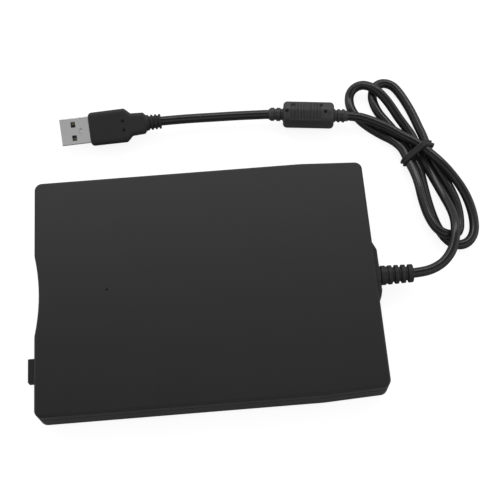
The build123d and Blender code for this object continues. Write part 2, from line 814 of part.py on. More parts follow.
def usb_board():
    low = board_low
    front = module_rear + board_gap
    board = block((front, front + usb_board_length), (-usb_board_half - 8, usb_board_half),
                  (low, low + board_thickness))
    board -= block((front + 8.5, rear_x), (-6, 6), (low - 1, low + 3))
    for y in (-board_screw_y, board_screw_y):
        board -= rod(screw_hole + 0.1, (post_x, y, 0), (post_x, y, 20))
    for y in (-post_y, post_y):
        board -= rod(post_radius + 0.5, (post_x, y, 0), (post_x, y, 20))
    return [board]


def usb_controller():
    x, top = module_rear + board_gap + 3.5, board_low + board_thickness
    return [block((x - 2.0, x + 5.0), (8, 15), (top, top + 1.1))]


def board_components():
    """On the USB board: a crystal's can, two capacitors and three small chips."""
    x, top = module_rear + board_gap, board_low + board_thickness
    can = Pos(x + 5, -13, top + 1.2) * Box(3.6, 9.0, 2.4)
    can = fillet(can.edges().filter_by(Axis.Z), 1.6)
    caps = [rod(1.5, (x + 2.2, y, top), (x + 2.2, y, top + 3.2)) for y in (18.5, -4.0)]
    chips = [block((x + 1.7, x + 2.7), (y - 0.9, y + 0.9), (top, top + 0.6)) for y in (2.0, 4.8, -8.0)]
    return [can] + caps + chips


def cable_wires():
    """Four wires from the lead's inner end down to their pads on the USB board."""
    wires = []
    start, end = rear_x - wall - 1.5, module_rear + board_gap + 5.0
    top = board_low + board_thickness
    for step in (-1.5, -0.5, 0.5, 1.5):
        points = [(start, step * 1.0, exit_z), (start - 2.0, step * 1.2, exit_z - 0.3),
                  (end + 0.8, step * 1.8, top + 0.9), (end, step * 1.9, top + 0.35)]
        route = FilletPolyline(*points, radius=0.6)
        wires.append(sweep(Plane(origin=route @ 0, z_dir=route % 0).location * Circle(0.35), path=route))
    return wires


def sensor_board():
    return [block((sensor_x - 2.4, sensor_x + 2.2), (-sensor_board_half, sensor_board_half),
                  (pan_top, pan_top + sensor_board_thickness))]


def sensor_places():
    return {"write_guard": sensor_y, "density": -sensor_y, "disk_in": disk_sensor_y}


def sensor_switches():
    low = pan_top + sensor_board_thickness
    return [block((sensor_x - 2.0, sensor_x + 2.0), (y - switch_half, y + switch_half), (low, switch_top))
            - rod(plunger_radius + 0.1, (sensor_x, y, low + 0.2), (sensor_x, y, switch_top + 1))
            for y in sensor_places().values()]


def plunger(y):
    stem = rod(plunger_radius, (sensor_x, y, switch_top - 0.5), (sensor_x, y, plunger_top))
    return [fillet(stem.faces().sort_by(Axis.Z)[-1].edges(), 0.3)]


def activity_led():
    low = pan_top + sensor_board_thickness
    x = module_front + 1.2
    return [block((x, x + 2.0), (lens_y - 1.5, lens_y + 1.5), (low, lens_low + lens_height))]


# ---- the lead, from the case out
def lathe_x(profile, start):
    """A solid of revolution about a line along X at the lead's exit: pairs of length and radius."""
    points = [(start, 0)] + [(start + x, r) for x, r in profile] + [(start + profile[-1][0], 0)]
    face = make_face(Polyline(*points, close=True))
    return revolve(face, Axis.X)


flange = 1.5
collar = 2.3
rib_depth = 0.75


def strain_relief():
    """The ribbed sleeve moulded on the lead, with a neck held in the case's rear wall."""
    face = rear_x + boss_length
    body = [(0, relief_base), (flange, relief_base)]
    ribs = 5
    pitch = (relief_length - flange - collar - 0.3) / ribs
    for step in range(ribs):
        x = flange + pitch * step
        r = relief_base + (relief_tip - relief_base) * (step + 1) / (ribs + 1)
        body += [(x, r - rib_depth), (x + pitch * 0.38, r - rib_depth), (x + pitch * 0.38, r), (x + pitch, r)]
    last, root, rim = relief_length - collar, relief_tip - rib_depth, relief_tip + 0.15
    body += [(last - 0.3, root), (last, root), (last, rim), (relief_length, rim)]
    sleeve = lathe_x(body, face)
    neck = lathe_x([(0, relief_base), (flange, relief_base), (flange, relief_neck),
                    (flange + wall + boss_length, relief_neck)], rear_x - wall - flange)
    return [Pos(0, 0, exit_z) * (sleeve + neck)]


def cord_tube(points):
    """Plain straight runs joined by arcs, each as large as its two runs allow."""
    spots = [Vector(*p) for p in points]
    radii = []
    for before, at, after in zip(spots, spots[1:], spots[2:]):
        one, two = at - before, after - at
        half = math.radians(one.get_angle(two)) / 2
        radii.append(0.45 * min(one.length, two.length) / math.tan(half))
    route = FilletPolyline(*spots, radius=radii)
    tube = sweep(Plane(origin=route @ 0, z_dir=route % 0).location * Circle(cord_radius), path=route)
    expected = math.pi * cord_radius ** 2 * route.length
    print("radii", [round(r, 1) for r in radii], "length", round(route.length, 1),
          "volume share", round(tube.volume / expected, 4))
    return [tube]


exit_route = [(relief_end, 0.0, exit_z), (92.35, 0.2, 8.0), (96.75, 1.3, 8.05), (100.95, 3.4, 8.25),
              (104.05, 6.4, 8.6), (106.25, 9.7, 9.0), (107.55, 13.5, 9.24)]
link_route = [(74.15, 78.1, 6.35), (71.75, 78.65, 6.2), (69.4, 79.3, 6.05)]
plug_route = [(33.6, 83.25, 6.05), (28.7, 83.6, 5.7), (20.5, 84.15, 5.3), (11.3, 84.35, 5.2),
              (2.2, 84.35, 5.5), (-7.0, 84.05, 6.2), (-15.9, 83.45, 6.9)]


def cable_exit():
    return cord_tube(exit_route)


def cable_link():
    return cord_tube(link_route)


def cable_to_plug():
    return cord_tube(plug_route)


hank_low = 0.05
crossing_high = 11.4
hank_high = 8.8


def cable_hank():
    """The outer shape of the tied bundle: two lobes of loose turns that meet at the tie.

    It is highest where three turns cross, at the end of the lower lobe.
    """
    lower = [(90.75, 55.5), (94.75, 45.7), (95.55, 35.2), (98.15, 23.7), (103.85, 14.3), (110.55, 11.1),
             (117.55, 14.5), (121.05, 24.7), (119.75, 36.7), (114.75, 46.9), (106.55, 58.3)]
    upper = [(104.95, 68), (101.35, 80.7), (96.35, 92.9), (88.95, 99.5), (80.95, 98.3), (72.95, 96.3),
             (69.75, 89.7), (72.35, 79.1), (80.55, 69.5)]
    face = make_face(Spline(*lower, *upper, periodic=True))
    body = slab(face, hank_low, crossing_high)
    body = chamfer(body.faces().sort_by(Axis.Z)[-1].edges(), 1.6)
    body -= block((60, 130), (30, 110), (hank_high, crossing_high + 1))
    waist = tie_frame(block((-30, 30), (-tie_width / 2 - 0.2, tie_width / 2 + 0.2), (-1, 20)) - tie_hollow())
    return [body - waist]


tie_middle = (98.1, 58.5)
tie_turn = 33.0
tie_width = 2.8
tie_thickness = 1.2
tie_half = 8.3


def tie_frame(shape):
    return Pos(tie_middle[0], tie_middle[1], 0) * Rot(0, 0, tie_turn) * shape


def tie_hollow():
    return block((-tie_half, tie_half), (-9, 9), (0.6, hank_high))


def cable_tie():
    """A flat tie round the bundle's waist."""
    outer = block((-tie_half - tie_thickness, tie_half + tie_thickness), (-tie_width / 2, tie_width / 2),
                  (0.0, hank_high + tie_thickness + 0.05))
    outer = fillet(outer.edges().filter_by(Axis.Y), 2.2)
    return [tie_frame(outer) - tie_frame(tie_hollow())]


def ferrite_place(shape):
    return Pos(*ferrite_middle) * Rot(0, 0, ferrite_turn) * shape


def ferrite_cover():
    """The moulded cover of the ferrite core, with a ribbed stub at each end."""
    half, r = ferrite_half_length, ferrite_radius
    tip = half + stub_length
    points = [(-tip, 0), (-tip, stub_radius - 0.2), (-tip + 1.2, stub_radius)]
    for step in range(2):
        x = -tip + 1.2 + step * stub_pitch
        points += [(x, stub_radius - 0.6), (x + 1.0, stub_radius - 0.6), (x + 1.0, stub_radius),
                   (x + stub_pitch, stub_radius)]
    points += [(-half + 0.2, stub_radius), (-half + 0.4, r - 1.6), (-half + 1.4, r - 0.4), (-half + 3.2, r)]
    points += [(-x, y) for x, y in reversed(points)]
    cover = revolve(make_face(Polyline(*points, close=True)), Axis.X)
    cover -= rod(core_radius, (-core_half, 0, 0), (core_half, 0, 0))
    return [ferrite_place(cover)]


stub_pitch = 2.4
core_radius = 4.4
core_half = 8.2


def ferrite_core():
    core = rod(core_radius, (-core_half, 0, 0), (core_half, 0, 0))
    core -= rod(1.2, (-core_half - 1, 0, 0), (core_half + 1, 0, 0))
    return [ferrite_place(core)]


def plug_place(shape):
    return Pos(*plug_tip) * Rot(0, 0, plug_turn) * Rot(plug_roll, 0, 0) * shape


window_from = 4.8
window_to = 6.9
window_middle = 3.0
window_half = 1.25
# the pressed mark on the shell's top, with its half sizes
dimple_x = 9.0
dimple_shape = (1.0, 1.3, 0.2)


def plug_shell():
    half, high = shell_width / 2, shell_height / 2
    shell = block((0, shell_length + 4), (-half, half), (-high, high))
    shell = fillet(shell.edges().filter_by(Axis.X), 0.5)
    shell -= block((-1, shell_length + 9), (-half + shell_sheet, half - shell_sheet),
                   (-high + shell_sheet, high - shell_sheet))
    for y in (-window_middle, window_middle):
        shell -= block((window_from, window_to), (y - window_half, y + window_half), (-high - 1, high + 1))
    shell += Pos(dimple_x, 0, high) * scale(Sphere(1.0), dimple_shape)
    return [plug_place(shell)]


def plug_tongue():
    half, high = shell_width / 2 - shell_sheet, shell_height / 2 - shell_sheet
    tongue = block((0.6, shell_length + 3.5), (-half, half), (-high, -high + 1.9))
    tongue += block((shell_length - 1.6, shell_length + 3.5), (-half, half), (-high, high))
    return [plug_place(tongue)]


def plug_contacts():
    high = -shell_height / 2 + shell_sheet + 1.9
    pads = []
    for y, start in ((-3.5, 1.2), (-1.0, 2.2), (1.0, 2.2), (3.5, 1.2)):
        pads.append(plug_place(block((start, shell_length - 2.2), (y - 0.5, y + 0.5), (high, high + 0.15))))
    return pads


def plug_grip():
    """The moulded grip, with shoulders that narrow to a ribbed relief."""
    high = grip_height / 2
    start = shell_length
    neck = start + grip_length
    end = neck + neck_length
    half = grip_width / 2
    side = [(start, half), (neck - 1, half), (neck + 1.7, half - 2.4), (end, neck_half)]
    plan = make_face(Polyline(*side, *[(x, -y) for x, y in reversed(side)], close=True))
    grip = Pos(0, 0, -high) * extrude(plan, amount=grip_height)
    rims = [e for e in grip.edges() if abs(abs(e.center().Z) - high) < 0.01 and e.center().X > start + 0.1]
    grip = fillet(rims, 1.2)
    inner = block((start - 1, start + 4), (-shell_width / 2, shell_width / 2),
                  (-shell_height / 2, shell_height / 2))
    points = [(end - 1, 0), (end - 1, plug_relief_radius)]
    for step in range(3):
        x = end + 0.6 + step * 2.2
        points += [(x, plug_relief_radius), (x, plug_relief_radius - 0.7),
                   (x + 0.9, plug_relief_radius - 0.7), (x + 0.9, plug_relief_radius)]
    points += [(end + plug_relief_length, plug_relief_radius - 0.2), (end + plug_relief_length, 0)]
    tail = revolve(make_face(Polyline(*points, close=True)), Axis.X)
    return [plug_place(grip - inner + tail)]


pieces = [
    top_cover, bottom_cover, rubber_feet, case_screws, small_screws, front_bezel, door_flap, flap_rod,
    flap_spring, eject_button, led_lens, activity_led, chassis_pan, shield_plate, eject_slider,
    slider_spring, disk_holder, shutter_lever, spindle_board, spindle_bearing, stator_core,
    stator_coils, spindle_rotor, rotor_magnet, spindle_hub, head_carriage, lower_head, upper_head_arm,
    upper_head, arm_pin, guide_shafts, shaft_clamps, lead_screw, screw_frame, stepper_motor,
    drive_board, drive_controller, ribbon_connectors, ribbon_cable, usb_board, usb_controller,
    board_components, sensor_board, sensor_switches, cable_wires, strain_relief, cable_exit, cable_hank,
    cable_tie, cable_link, ferrite_cover, ferrite_core, cable_to_plug, plug_shell, plug_tongue,
    plug_contacts, plug_grip,
]
nodes = {piece.__name__: piece() for piece in pieces}
for name, y in sensor_places().items():
    nodes[name + "_plunger"] = plunger(y)

os.makedirs("parts", exist_ok=True)
for name, shapes in nodes.items():
    solids = [solid for shape in shapes for solid in shape.solids()]
    export_step(Compound(children=solids) if len(solids) > 1 else solids[0], "parts/" + name + ".step")
    print(name, len(solids))
print("nodes", len(nodes))
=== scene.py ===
import bpy
import numpy as np
from mathutils import Matrix, Vector


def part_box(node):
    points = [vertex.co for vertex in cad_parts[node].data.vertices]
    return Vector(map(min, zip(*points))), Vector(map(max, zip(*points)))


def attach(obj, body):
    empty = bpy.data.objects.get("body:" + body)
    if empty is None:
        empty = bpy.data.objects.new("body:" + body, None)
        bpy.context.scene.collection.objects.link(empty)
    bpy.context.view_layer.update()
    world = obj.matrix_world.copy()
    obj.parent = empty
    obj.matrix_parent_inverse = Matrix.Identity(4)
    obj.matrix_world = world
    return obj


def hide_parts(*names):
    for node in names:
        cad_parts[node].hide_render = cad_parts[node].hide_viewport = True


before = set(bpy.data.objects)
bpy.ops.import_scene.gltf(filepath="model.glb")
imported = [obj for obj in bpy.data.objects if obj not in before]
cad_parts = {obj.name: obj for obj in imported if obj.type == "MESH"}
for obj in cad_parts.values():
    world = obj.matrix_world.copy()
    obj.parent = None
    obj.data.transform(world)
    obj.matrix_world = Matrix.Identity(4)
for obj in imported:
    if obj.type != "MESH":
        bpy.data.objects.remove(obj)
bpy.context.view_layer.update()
print("frame loaded")

mm = 0.001  # pieces are worked out in millimetres, and every mesh is in metres
sharpAngle = 40.0


def addPiece(name, data):
    piece = bpy.data.objects.new(name, data)
    bpy.context.scene.collection.objects.link(piece)
    return piece


# ---- camera
view = {"place": (0.01136, -0.14766, 0.40569), "azimuth": -2.91, "elevation": 67.56, "roll": -1.788,
        "lens": 72.22, "sensor": 36.0, "clip": (0.01, 20.0)}


def makeCamera(view):
    # the camera's own axes: a turn about Z, a tilt up to the elevation, then a roll about the line of sight
    azimuth, elevation, roll = np.radians([view["azimuth"], view["elevation"], view["roll"]])
    level = np.cos(elevation)
    back = np.array([np.sin(azimuth) * level, -np.cos(azimuth) * level, np.sin(elevation)])
    right = np.array([np.cos(azimuth), np.sin(azimuth), 0.0])
    up = np.cross(back, right)
    rightRolled = np.cos(roll) * right + np.sin(roll) * up
    upRolled = np.cos(roll) * up - np.sin(roll) * right
    data = bpy.data.cameras.new("camera")
    data.lens, data.sensor_width = view["lens"], view["sensor"]
    data.clip_start, data.clip_end = view["clip"]
    camera = addPiece("camera", data)
    turn = Matrix(np.stack([rightRolled, upRolled, back], axis=-1).tolist()).to_4x4()
    camera.matrix_world = Matrix.Translation(view["place"]) @ turn
    bpy.context.scene.camera = camera


makeCamera(view)

# ---- the lead: its route from the case to the plug, in metres
lead = {
    "radius": 0.0021,
    "length": 0.579,
    "stepsAlong": 6,
    "stepsRound": 6,
    # out of the sleeve and up onto the end of the lower lobe
    "exit": [(0.0876, 0.0, 0.008), (0.09235, 0.0002, 0.008), (0.09675, 0.0013, 0.00805),
             (0.10095, 0.0034, 0.00825), (0.10405, 0.0064, 0.0086), (0.10625, 0.0097, 0.009),
             (0.10755, 0.0135, 0.00924)],
    # along the lower lobe and through the tie
    "intoTie": [(0.10845, 0.0172, 0.00924), (0.10915, 0.0214, 0.00851), (0.10925, 0.0264, 0.00714),
                (0.10845, 0.0315, 0.00557), (0.10715, 0.0368, 0.00409), (0.10545, 0.0429, 0.00294),
                (0.10375, 0.0485, 0.0022), (0.10195, 0.0533, 0.00215), (0.10025, 0.0579, 0.00215),
                (0.09895, 0.0629, 0.00215)],
    # the left loop of the upper lobe, which crosses the right one
    "leftLoop": [(0.09795, 0.0684, 0.00215), (0.09555, 0.0732, 0.00242), (0.09275, 0.078, 0.00326),
                 (0.09035, 0.0827, 0.00441), (0.08745, 0.0873, 0.00578), (0.08405, 0.0915, 0.00662),
                 (0.08085, 0.094, 0.0063), (0.07795, 0.0955, 0.00525), (0.07495, 0.0953, 0.00399),
                 (0.07255, 0.0935, 0.00284), (0.07155, 0.0907, 0.0022), (0.07145, 0.0873, 0.00215),
                 (0.07215, 0.0839, 0.00215), (0.07425, 0.0799, 0.00215), (0.07805, 0.0753, 0.00215),
                 (0.08395, 0.0704, 0.00215), (0.08875, 0.0666, 0.00315), (0.09215, 0.0621, 0.00399),
                 (0.09325, 0.0583, 0.0042), (0.09425, 0.0543, 0.00451)],
    # the inner turn of the lower lobe, over the outer turn at its end
    "innerTurn": [(0.09585, 0.0489, 0.00514), (0.09675, 0.0427, 0.00588), (0.09705, 0.0363, 0.00599),
                  (0.09795, 0.0295, 0.00609), (0.09915, 0.0247, 0.00641), (0.10075, 0.0209, 0.00662),
                  (0.10285, 0.0185, 0.00651), (0.10535, 0.0172, 0.00619), (0.10815, 0.0174, 0.00483),
                  (0.11065, 0.0188, 0.00346), (0.11205, 0.0213, 0.00252), (0.11265, 0.0247, 0.0022),
                  (0.11295, 0.0289, 0.00215), (0.11255, 0.0343, 0.00215), (0.11155, 0.0387, 0.00215),
                  (0.11015, 0.0433, 0.00215), (0.10865, 0.0476, 0.00215), (0.10705, 0.0515, 0.00215),
                  (0.10555, 0.0555, 0.00215), (0.10405, 0.0599, 0.00215), (0.10345, 0.0639, 0.00215)],
    # the right loop of the upper lobe
    "rightLoop": [(0.10275, 0.068, 0.00215), (0.10145, 0.0727, 0.00215), (0.10015, 0.0779, 0.00215),
                  (0.09855, 0.0831, 0.00215), (0.09635, 0.0889, 0.00215), (0.09365, 0.0943, 0.00215),
                  (0.09115, 0.0966, 0.00215), (0.08805, 0.0975, 0.00215), (0.08505, 0.0965, 0.00215),
                  (0.08305, 0.0939, 0.00215), (0.08225, 0.0904, 0.00215), (0.08255, 0.0869, 0.00215),
                  (0.08345, 0.0835, 0.00215), (0.08495, 0.0802, 0.00215), (0.08715, 0.0767, 0.00215),
                  (0.09025, 0.0715, 0.00215), (0.09375, 0.0658, 0.00215), (0.09565, 0.0609, 0.00215),
                  (0.09695, 0.0561, 0.00215)],
    # the outer turn of the lower lobe, flat on the table, then up through the top of the tie
    "outerTurn": [(0.09895, 0.0499, 0.00215), (0.09925, 0.0447, 0.00215), (0.09975, 0.0383, 0.00215),
                  (0.10045, 0.0322, 0.00215), (0.10135, 0.0271, 0.00215), (0.10255, 0.0226, 0.00215),
                  (0.10445, 0.0183, 0.00215), (0.10675, 0.0152, 0.00215), (0.10945, 0.0136, 0.00215),
                  (0.11245, 0.0135, 0.00215), (0.11505, 0.0147, 0.00215), (0.11705, 0.0169, 0.00215),
                  (0.11835, 0.0198, 0.00215), (0.11895, 0.0237, 0.00215), (0.11895, 0.0282, 0.00215),
                  (0.11835, 0.0331, 0.0022), (0.11685, 0.0383, 0.00273), (0.11475, 0.0424, 0.00378),
                  (0.11205, 0.0464, 0.00514), (0.10895, 0.0506, 0.0063), (0.10555, 0.0549, 0.00651),
                  (0.10195, 0.0591, 0.0063), (0.09805, 0.0631, 0.00651)],
    # over the upper lobe and into the ferrite's jacket
    "toFerrite": [(0.09275, 0.0666, 0.00662), (0.08875, 0.0699, 0.00662), (0.08475, 0.0727, 0.00662),
                  (0.08065, 0.0751, 0.0066), (0.07595, 0.0775, 0.0065), (0.07415, 0.0781, 0.00635),
                  (0.07175, 0.07865, 0.0062), (0.0694, 0.0793, 0.00605)],
    "throughFerrite": [(0.061, 0.08023, 0.00605), (0.0515, 0.0813, 0.00605), (0.042, 0.08237, 0.00605)],
    "toPlug": [(0.0336, 0.08325, 0.00605), (0.0287, 0.0836, 0.0057), (0.0205, 0.08415, 0.0053),
               (0.0113, 0.08435, 0.0052), (0.0022, 0.08435, 0.0055), (-0.007, 0.08405, 0.0062),
               (-0.0159, 0.08345, 0.0069)],
}
leadStretches = ["exit", "intoTie", "leftLoop", "innerTurn", "rightLoop", "outerTurn", "toFerrite",
                 "throughFerrite", "toPlug"]


def makeLead(lead):
    route = [point for stretch in leadStretches for point in lead[stretch]]
    curve = bpy.data.curves.new("lead", "CURVE")
    curve.dimensions, curve.resolution_u, curve.twist_mode = "3D", lead["stepsAlong"], "MINIMUM"
    curve.bevel_depth = 1.0  # times each point's radius
    curve.bevel_resolution, curve.use_fill_caps = lead["stepsRound"], True
    spline = curve.splines.new("NURBS")
    spline.points.add(len(route) - 1)
    for point, place in zip(spline.points, route):
        point.co, point.radius = (*place, 1.0), lead["radius"]
    spline.order_u = 3  # after the points, or the line stays straight runs
    spline.use_endpoint_u = True
    return addPiece("lead", curve)


def centreLine(piece):
    # the curve's own line as points, read from a copy with no bevel
    bare = piece.copy()
    bare.data = piece.data.copy()
    bare.data.bevel_depth = 0.0
    mesh = bpy.data.meshes.new_from_object(bare)
    points = np.empty(3 * len(mesh.vertices))
    mesh.vertices.foreach_get("co", points)
    bpy.data.meshes.remove(mesh)
    bpy.data.objects.remove(bare)
    return points.reshape(-1, 3)


leadPiece = makeLead(lead)
print("lead laid")


# ---- surfaces
def nextRound(index):
    return np.roll(index, -1, axis=-1)


def surfaceMesh(name, grid, capped=True):
    # grid[i, j] is the point, in mm, at step i along a piece and step j round it. Each ring closes on itself;
    # the piece is closed by a fan at both ends, or its last ring joins its first
    rows, turns = grid.shape[:2]
    index = np.arange(rows * turns).reshape(rows, turns)
    here, ahead = (index[:-1], index[1:]) if capped else (index, np.roll(index, -1, axis=0))
    points = grid.reshape(-1, 3)
    quads = np.stack([here, nextRound(here), nextRound(ahead), ahead], axis=-1).reshape(-1, 4)
    fans = np.zeros((0, 3), int)
    if capped:
        points = np.vstack([points, grid[0].mean(0), grid[-1].mean(0)])
        first, last = index[0], index[-1]
        front = np.stack([np.full(turns, rows * turns), nextRound(first), first], axis=-1)
        rear = np.stack([np.full(turns, rows * turns + 1), last, nextRound(last)], axis=-1)
        fans = np.vstack([front, rear])
    corners = np.vstack([quads[:, [0, 1, 2]], quads[:, [0, 2, 3]], fans])
    a, b, c = (points[corners[:, place]] for place in range(3))
    if np.sum(a * np.cross(b, c)) < 0.0:  # a negative volume: the rings were walked the other way
        quads, fans = quads[:, ::-1], fans[:, ::-1]
    mesh = bpy.data.meshes.new(name)
    mesh.from_pydata((points * mm).tolist(), [], quads.tolist() + fans.tolist())
    mesh.polygons.foreach_set("use_smooth", np.ones(len(mesh.polygons), bool))
    mesh.set_sharp_from_angle(angle=np.radians(sharpAngle))
    return addPiece(name, mesh)


def placed(points, middle, turn, roll=0.0):
    # rolled about X and then turned about Z, both by degrees, then moved to its middle
    (cos, rollCos), (sin, rollSin) = np.cos(np.radians([turn, roll])), np.sin(np.radians([turn, roll]))
    rolled = points @ np.array([[1.0, 0.0, 0.0], [0.0, rollCos, rollSin], [0.0, -rollSin, rollCos]])
    return rolled @ np.array([[cos, sin, 0.0], [-sin, cos, 0.0], [0.0, 0.0, 1.0]]) + np.array(middle)


def softStep(x, edge, width):
    # 0 before the edge and 1 after it, by 3t^2 - 2t^3 across the width
    t = np.clip((x - edge) / width + 0.5, 0.0, 1.0)
    return t * t * (3.0 - 2.0 * t)


def band(x, low, high, soft):
    # 1 between two edges and 0 outside them
    return softStep(x, low, soft) - softStep(x, high, soft)


def cutBands(x, middles, half, soft):
    # one row for each middle: 1 within half of it
    middles = np.array(middles)[:, None]
    return band(x, middles - half, middles + half, soft)


def endRound(distance, radius):
    # how far a rounded end draws in at a distance from its tip: r - sqrt(r^2 - (r - d)^2)
    inward = np.clip(radius - distance, 0.0, radius)
    return radius - np.sqrt(radius ** 2 - inward ** 2)


def roundAngles(steps):
    return np.linspace(0.0, 2.0 * np.pi, steps, endpoint=False)


def fromUpright(angle):
    # the angle from straight up, negative on one side
    return (angle + np.pi) % (2.0 * np.pi) - np.pi


def lathe(x, radius, angle):
    # y = r sin a and z = r cos a, with r given for each x and angle
    along = np.broadcast_to(x[:, None], radius.shape)
    return np.stack([along, radius * np.sin(angle), radius * np.cos(angle)], axis=-1)


# ---- the strain relief: a sleeve with a flange behind the wall and ring grooves outside
sleeve = {"start": 67.5, "flangeEnd": 69.0, "lidEdge": 71.05, "wallEnd": 73.25, "end": 87.6, "height": 8.0,
          "flange": 4.2, "neck": 3.2, "saddleHalf": 4.1, "saddleTop": 4.2, "saddleLean": 45.0, "root": 4.2,
          "tip": 3.85, "collarStart": 85.4, "collar": 3.9, "endRound": 0.5,
          "grooves": (73.35, 76.45, 79.2, 82.0, 84.9), "depths": (0.5, 0.4, 0.9, 0.95, 1.0),
          "grooveHalf": 0.5, "soft": 0.45, "stepsAlong": 420, "stepsRound": 96}


def makeSleeve(s):
    # radius(x): flange, neck, then a taper from root to tip less each groove's band times its depth. Between
    # the lid's edge and the boss's face the neck fills its slot, under a flat saddle where
    # r = min(top / cos a, half / sin a)
    x = np.linspace(s["start"], s["end"], s["stepsAlong"])
    taper = s["root"] + (s["tip"] - s["root"]) * (x - s["wallEnd"]) / (s["end"] - s["wallEnd"])
    taper = np.where(x > s["collarStart"], s["collar"], taper)
    grooves = cutBands(x, s["grooves"], s["grooveHalf"], s["soft"])
    cuts = (np.array(s["depths"])[:, None] * grooves).sum(0)
    outside = taper - cuts - endRound(s["end"] - x, s["endRound"])
    inside = np.where(x < s["flangeEnd"], s["flange"], s["neck"])
    radius = np.where(x < s["wallEnd"], inside, outside)[:, None]
    angle = roundAngles(s["stepsRound"])
    lean = np.abs(fromUpright(angle))
    cos, sin = np.maximum(np.cos(lean), 0.01), np.maximum(np.sin(lean), 0.01)
    saddle = np.minimum(s["saddleTop"] / cos, s["saddleHalf"] / sin)
    leanDegrees = np.degrees(lean)
    slotSides = s["neck"] / np.where(leanDegrees < 90.0, sin, 1.0)
    filled = np.where(leanDegrees < s["saddleLean"], saddle, slotSides)
    inSlot = ((x > s["lidEdge"]) & (x < s["wallEnd"]))[:, None]
    grid = lathe(x, np.where(inSlot, filled, radius), angle)
    return surfaceMesh("leadSleeve", grid + [0.0, 0.0, s["height"]])


# ---- the ferrite's jacket, with a ribbed stub at each end
jacket = {"middle": (51.5, 81.3, 6.05), "turn": -6.4, "start": -18.0, "end": 18.0,
          "bodyStart": -11.5, "bodyEnd": 11.6, "radius": 5.95, "round": 1.9,
          "stub": 3.05, "stubTip": 2.35, "tipMiddle": 0.6, "tipSoft": 1.4,
          "ribGrooves": (-15.0, -12.2, 12.7, 14.8, 16.9), "ribDepth": 0.5, "ribHalf": 0.5, "ribSoft": 0.5,
          "lineFirst": -7.8, "linePitch": 1.44, "lines": 10, "lineHalf": 0.33, "lineSoft": 0.3,
          "lineDepth": 0.46, "lineReach": 48.0, "reachSoft": 7.0,
          "pits": ((-9.8, -12.0), (-7.0, 23.0), (5.6, 23.0), (7.6, -12.0)), "pitRadius": 0.7,
          "pitSoft": 0.5, "pitDepth": 1.3, "stepsAlong": 340, "stepsRound": 112}


def makeJacket(j):
    # radius(x, a): the larger of a stub and a body with rounded ends, less rib grooves on the stubs, and less
    # fine grooves and round pits, which only the top of the body has
    x, angle = np.linspace(j["start"], j["end"], j["stepsAlong"]), roundAngles(j["stepsRound"])
    tip = softStep(np.minimum(x - j["start"], j["end"] - x), j["tipMiddle"], j["tipSoft"])
    stub = j["stubTip"] + (j["stub"] - j["stubTip"]) * tip
    stub = stub - j["ribDepth"] * cutBands(x, j["ribGrooves"], j["ribHalf"], j["ribSoft"]).sum(0)
    inside = np.minimum(x - j["bodyStart"], j["bodyEnd"] - x)
    body = np.where(inside > 0.0, j["radius"] - endRound(inside, j["round"]), 0.0)
    lean, reach = fromUpright(angle), np.radians(j["lineReach"])
    topSide = band(lean, -reach, reach, np.radians(j["reachSoft"]))
    middles = j["lineFirst"] + j["linePitch"] * np.arange(j["lines"])
    lines = cutBands(x, middles, j["lineHalf"], j["lineSoft"]).sum(0)[:, None]
    radius = np.maximum(stub, body)[:, None] - j["lineDepth"] * lines * topSide
    for pitX, pitAngle in j["pits"]:
        away = np.hypot(x[:, None] - pitX, j["radius"] * (lean - np.radians(pitAngle)))
        radius = radius - j["pitDepth"] * (1.0 - softStep(away, j["pitRadius"], j["pitSoft"]))
    return surfaceMesh("ferriteJacket", placed(lathe(x, radius, angle), j["middle"], j["turn"]))


# ---- the plug's moulded handle
handle = {"tip": (-60.8, 81.2, 6.9), "turn": 2.8, "roll": 30.0, "start": 12.9, "end": 45.3,
          "stations": (12.9, 29.2, 31.9, 37.6, 38.7, 45.3), "halfWidths": (7.5, 7.65, 5.15, 4.85, 3.55, 3.35),
          "halfHeights": (3.95, 4.0, 3.7, 3.5, 3.45, 3.25), "squareness": (5.0, 5.0, 4.2, 3.6, 2.0, 2.0),
          "blur": 9, "cornerRound": 1.7, "edgeRound": 0.8, "rearRound": 0.4,
          "rings": (40.3, 42.1, 43.9), "ringHalf": 0.42, "ringSoft": 0.35, "ringDepth": 0.65,
          "topFrom": 1.5, "topSoft": 1.0,
          "panel": (15.8, 26.8), "panelHalf": 4.5, "panelSoft": 0.35, "panelDepth": 0.16,
          "pits": ((28.3, 2.0), (28.3, -2.05)), "pitRadius": 0.6, "pitSoft": 0.4, "pitDepth": 0.9,
          "stepsAlong": 300, "stepsRound": 176}


